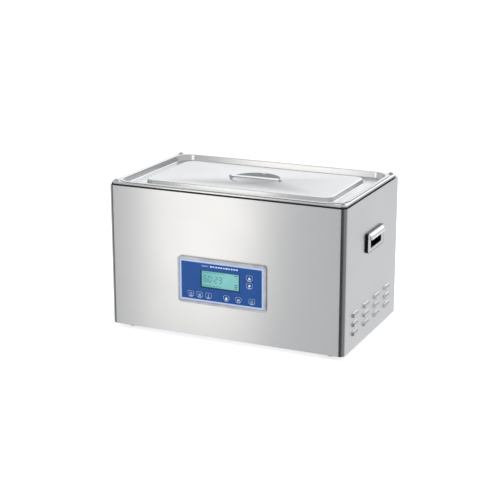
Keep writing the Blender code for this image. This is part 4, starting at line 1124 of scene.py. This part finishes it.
def make_overhead_light():
    data = bpy.data.lights.new("overhead_softbox", "AREA")
    data.shape = "RECTANGLE"
    data.size, data.size_y = 2.4, 2.0
    data.energy = 10
    light = bpy.data.objects.new("overhead_softbox", data)
    light.location = OVERHEAD_AT
    light.rotation_euler = (OVERHEAD_TARGET - OVERHEAD_AT).to_track_quat("-Z", "Y").to_euler()
    light.visible_camera = False
    light.visible_glossy = False
    bpy.context.scene.collection.objects.link(light)


def hide_from(obj, *rays):
    for ray in rays:
        setattr(obj, f"visible_{ray}", False)


def card(name, centre, size, turn, level=0.0, tint=(1.0, 1.0, 1.0)):
    """A card that only reflections see, as used to light steel: dark, or glowing if it has a level."""
    panel = block((-size[0] / 2, -0.002, -size[1] / 2), (size[0] / 2, 0.002, size[1] / 2))
    obj = draw(name, panel, Finish(name, (0.012, 0.012, 0.014), 1.0).glow(level, tint).material)
    obj.matrix_world = Matrix.Translation(MIDDLE + Vector(centre)) @ Matrix.Rotation(turn, 4, "Z")
    hide_from(obj, "camera", "diffuse", "shadow", "transmission", "volume_scatter")


def make_cards():
    across, along = 0.0, pi / 2
    card("corner_flag", (0.340, -0.282, 0.02), (0.21, 0.66), across, 0.03)
    card("corner_grey", (0.400, -0.185, 0.02), (0.18, 0.66), along, 0.27)
    card("edge_flag", (-0.330, -0.2125, 0.02), (0.07, 0.66), along, 0.12)
    card("front_glow", (-0.400, -0.872, 0.455), (0.34, 1.47), across, 1.75, (1.0, 0.985, 0.955))


FLOOR_REACH = 20


def make_floor():
    finish = Finish("pale_floor", (0.93, 0.93, 0.93), 0.9).glow(0.6)
    finish.colour(finish.noise(3.0), (0.3, (0.92, 0.92, 0.92)), (0.7, (0.94, 0.94, 0.94)))
    slab = block((-FLOOR_REACH, -FLOOR_REACH, -0.02), (FLOOR_REACH, FLOOR_REACH, 0))
    floor = draw("floor", slab, finish.material)
    floor.matrix_world = Matrix()
    hide_from(floor, "glossy")


def make_backdrop():
    """A pale wall round the floor's edge, which only the camera sees."""
    near, far, height = FLOOR_REACH - 1, FLOOR_REACH - 0.9, 12
    finish = Finish("pale_backdrop", (0, 0, 0), 1.0).glow(1.1)
    ring = lathe([(near, 0), (far, 0), (far, height), (near, height)], 48)
    wall = draw("backdrop", ring, finish.material)
    wall.matrix_world = Matrix()
    hide_from(wall, "glossy", "diffuse", "shadow", "transmission", "volume_scatter")


class Surround:
    """A world whose brightness is a base level with soft patches added round some directions."""

    def __init__(self, base, tint):
        world = bpy.data.worlds.new("studio")
        bpy.context.scene.world = world
        world.use_nodes = True
        self.nodes, self.links = world.node_tree.nodes, world.node_tree.links
        self.direction = self.nodes.new("ShaderNodeTexCoord").outputs["Generated"]
        level = self.nodes.new("ShaderNodeValue")
        level.outputs[0].default_value = base
        self.level = level.outputs[0]
        self.nodes["Background"].inputs["Color"].default_value = (*tint, 1)

    def patch(self, towards, full, edge, extra):
        """Adds extra light within full degrees of a direction, fading out at edge degrees."""
        dot = self.nodes.new("ShaderNodeVectorMath")
        dot.operation = "DOT_PRODUCT"
        dot.inputs[1].default_value = Vector(towards).normalized()
        fade = self.nodes.new("ShaderNodeMapRange")
        fade.interpolation_type = "SMOOTHSTEP"
        limits = (("From Min", cos(radians(edge))), ("From Max", cos(radians(full))), ("To Max", extra))
        for socket, value in limits:
            fade.inputs[socket].default_value = value
        add = self.nodes.new("ShaderNodeMath")
        self.links.new(self.direction, dot.inputs[0])
        self.links.new(dot.outputs["Value"], fade.inputs["Value"])
        self.links.new(self.level, add.inputs[0])
        self.links.new(fade.outputs["Result"], add.inputs[1])
        self.level = add.outputs[0]

    def finish(self):
        self.links.new(self.level, self.nodes["Background"].inputs["Strength"])


BASE_LIGHT, BASE_TINT = 0.79, (0.970, 0.980, 1.0)
PATCHES = (  # direction, degrees of full strength and of the edge, light added there
    ((0.397, 0.870, -0.25), 12, 34, 0.21),
    ((-0.397, 0.870, 0.34), 12, 44, 0.62),
    ((-0.397, -0.870, 0.45), 14, 38, -0.10),
    ((-0.410, 0.910, 0.00), 3, 13, -0.95),
    ((0.08, 0.80, 0.58), 8, 28, 0.70),
    ((0.22, 0.86, 0.42), 5, 20, 0.50),
    ((0.52, 0.84, 0.10), 5, 24, -0.40),
)


def make_world():
    """An even surround, brighter behind the bath, and darker in front and low down behind it."""
    surround = Surround(BASE_LIGHT, BASE_TINT)
    for patch in PATCHES:
        surround.patch(*patch)
    surround.finish()


def make_studio():
    make_floor()
    make_backdrop()
    make_world()
    make_cards()
    make_overhead_light()
    scene = bpy.context.scene
    scene.view_settings.view_transform = "Standard"
    scene.view_settings.look = "None"


LENS = 94.3
CAMERA_AT = MIDDLE + Vector((1.1035, -2.4747, 0.9292))
LOOKING_DOWN, TURNED_LEFT = radians(16.03), radians(24.26)


def make_camera():
    data = bpy.data.cameras.new("camera")
    data.sensor_width = 36
    data.lens = LENS
    camera = bpy.data.objects.new("camera", data)
    camera.location = CAMERA_AT
    camera.rotation_euler = (pi / 2 - LOOKING_DOWN, 0, TURNED_LEFT)
    bpy.context.scene.collection.objects.link(camera)
    bpy.context.scene.camera = camera


# ---- the whole scene ----------------------------------------------------------------------------
def main():
    finish = make_finishes()
    refinish_kept_nodes(finish)
    make_casing(finish)
    make_handle("right", finish)
    make_handle("left", finish)
    make_tank(finish)
    make_lid(finish)
    make_studs(finish)
    make_gasket(finish)
    make_feet(finish)
    film_at, film_half = make_bezel(finish)
    make_marks(finish, film_at, film_half)
    make_keys(finish)
    make_display(finish)
    make_rear(finish)
    make_fan(finish)
    make_valve(finish)
    make_nozzle(finish)
    make_lever_grip(finish)
    make_switch_marks(finish)
    make_base_screws(finish)
    make_studio()
    make_camera()


main()
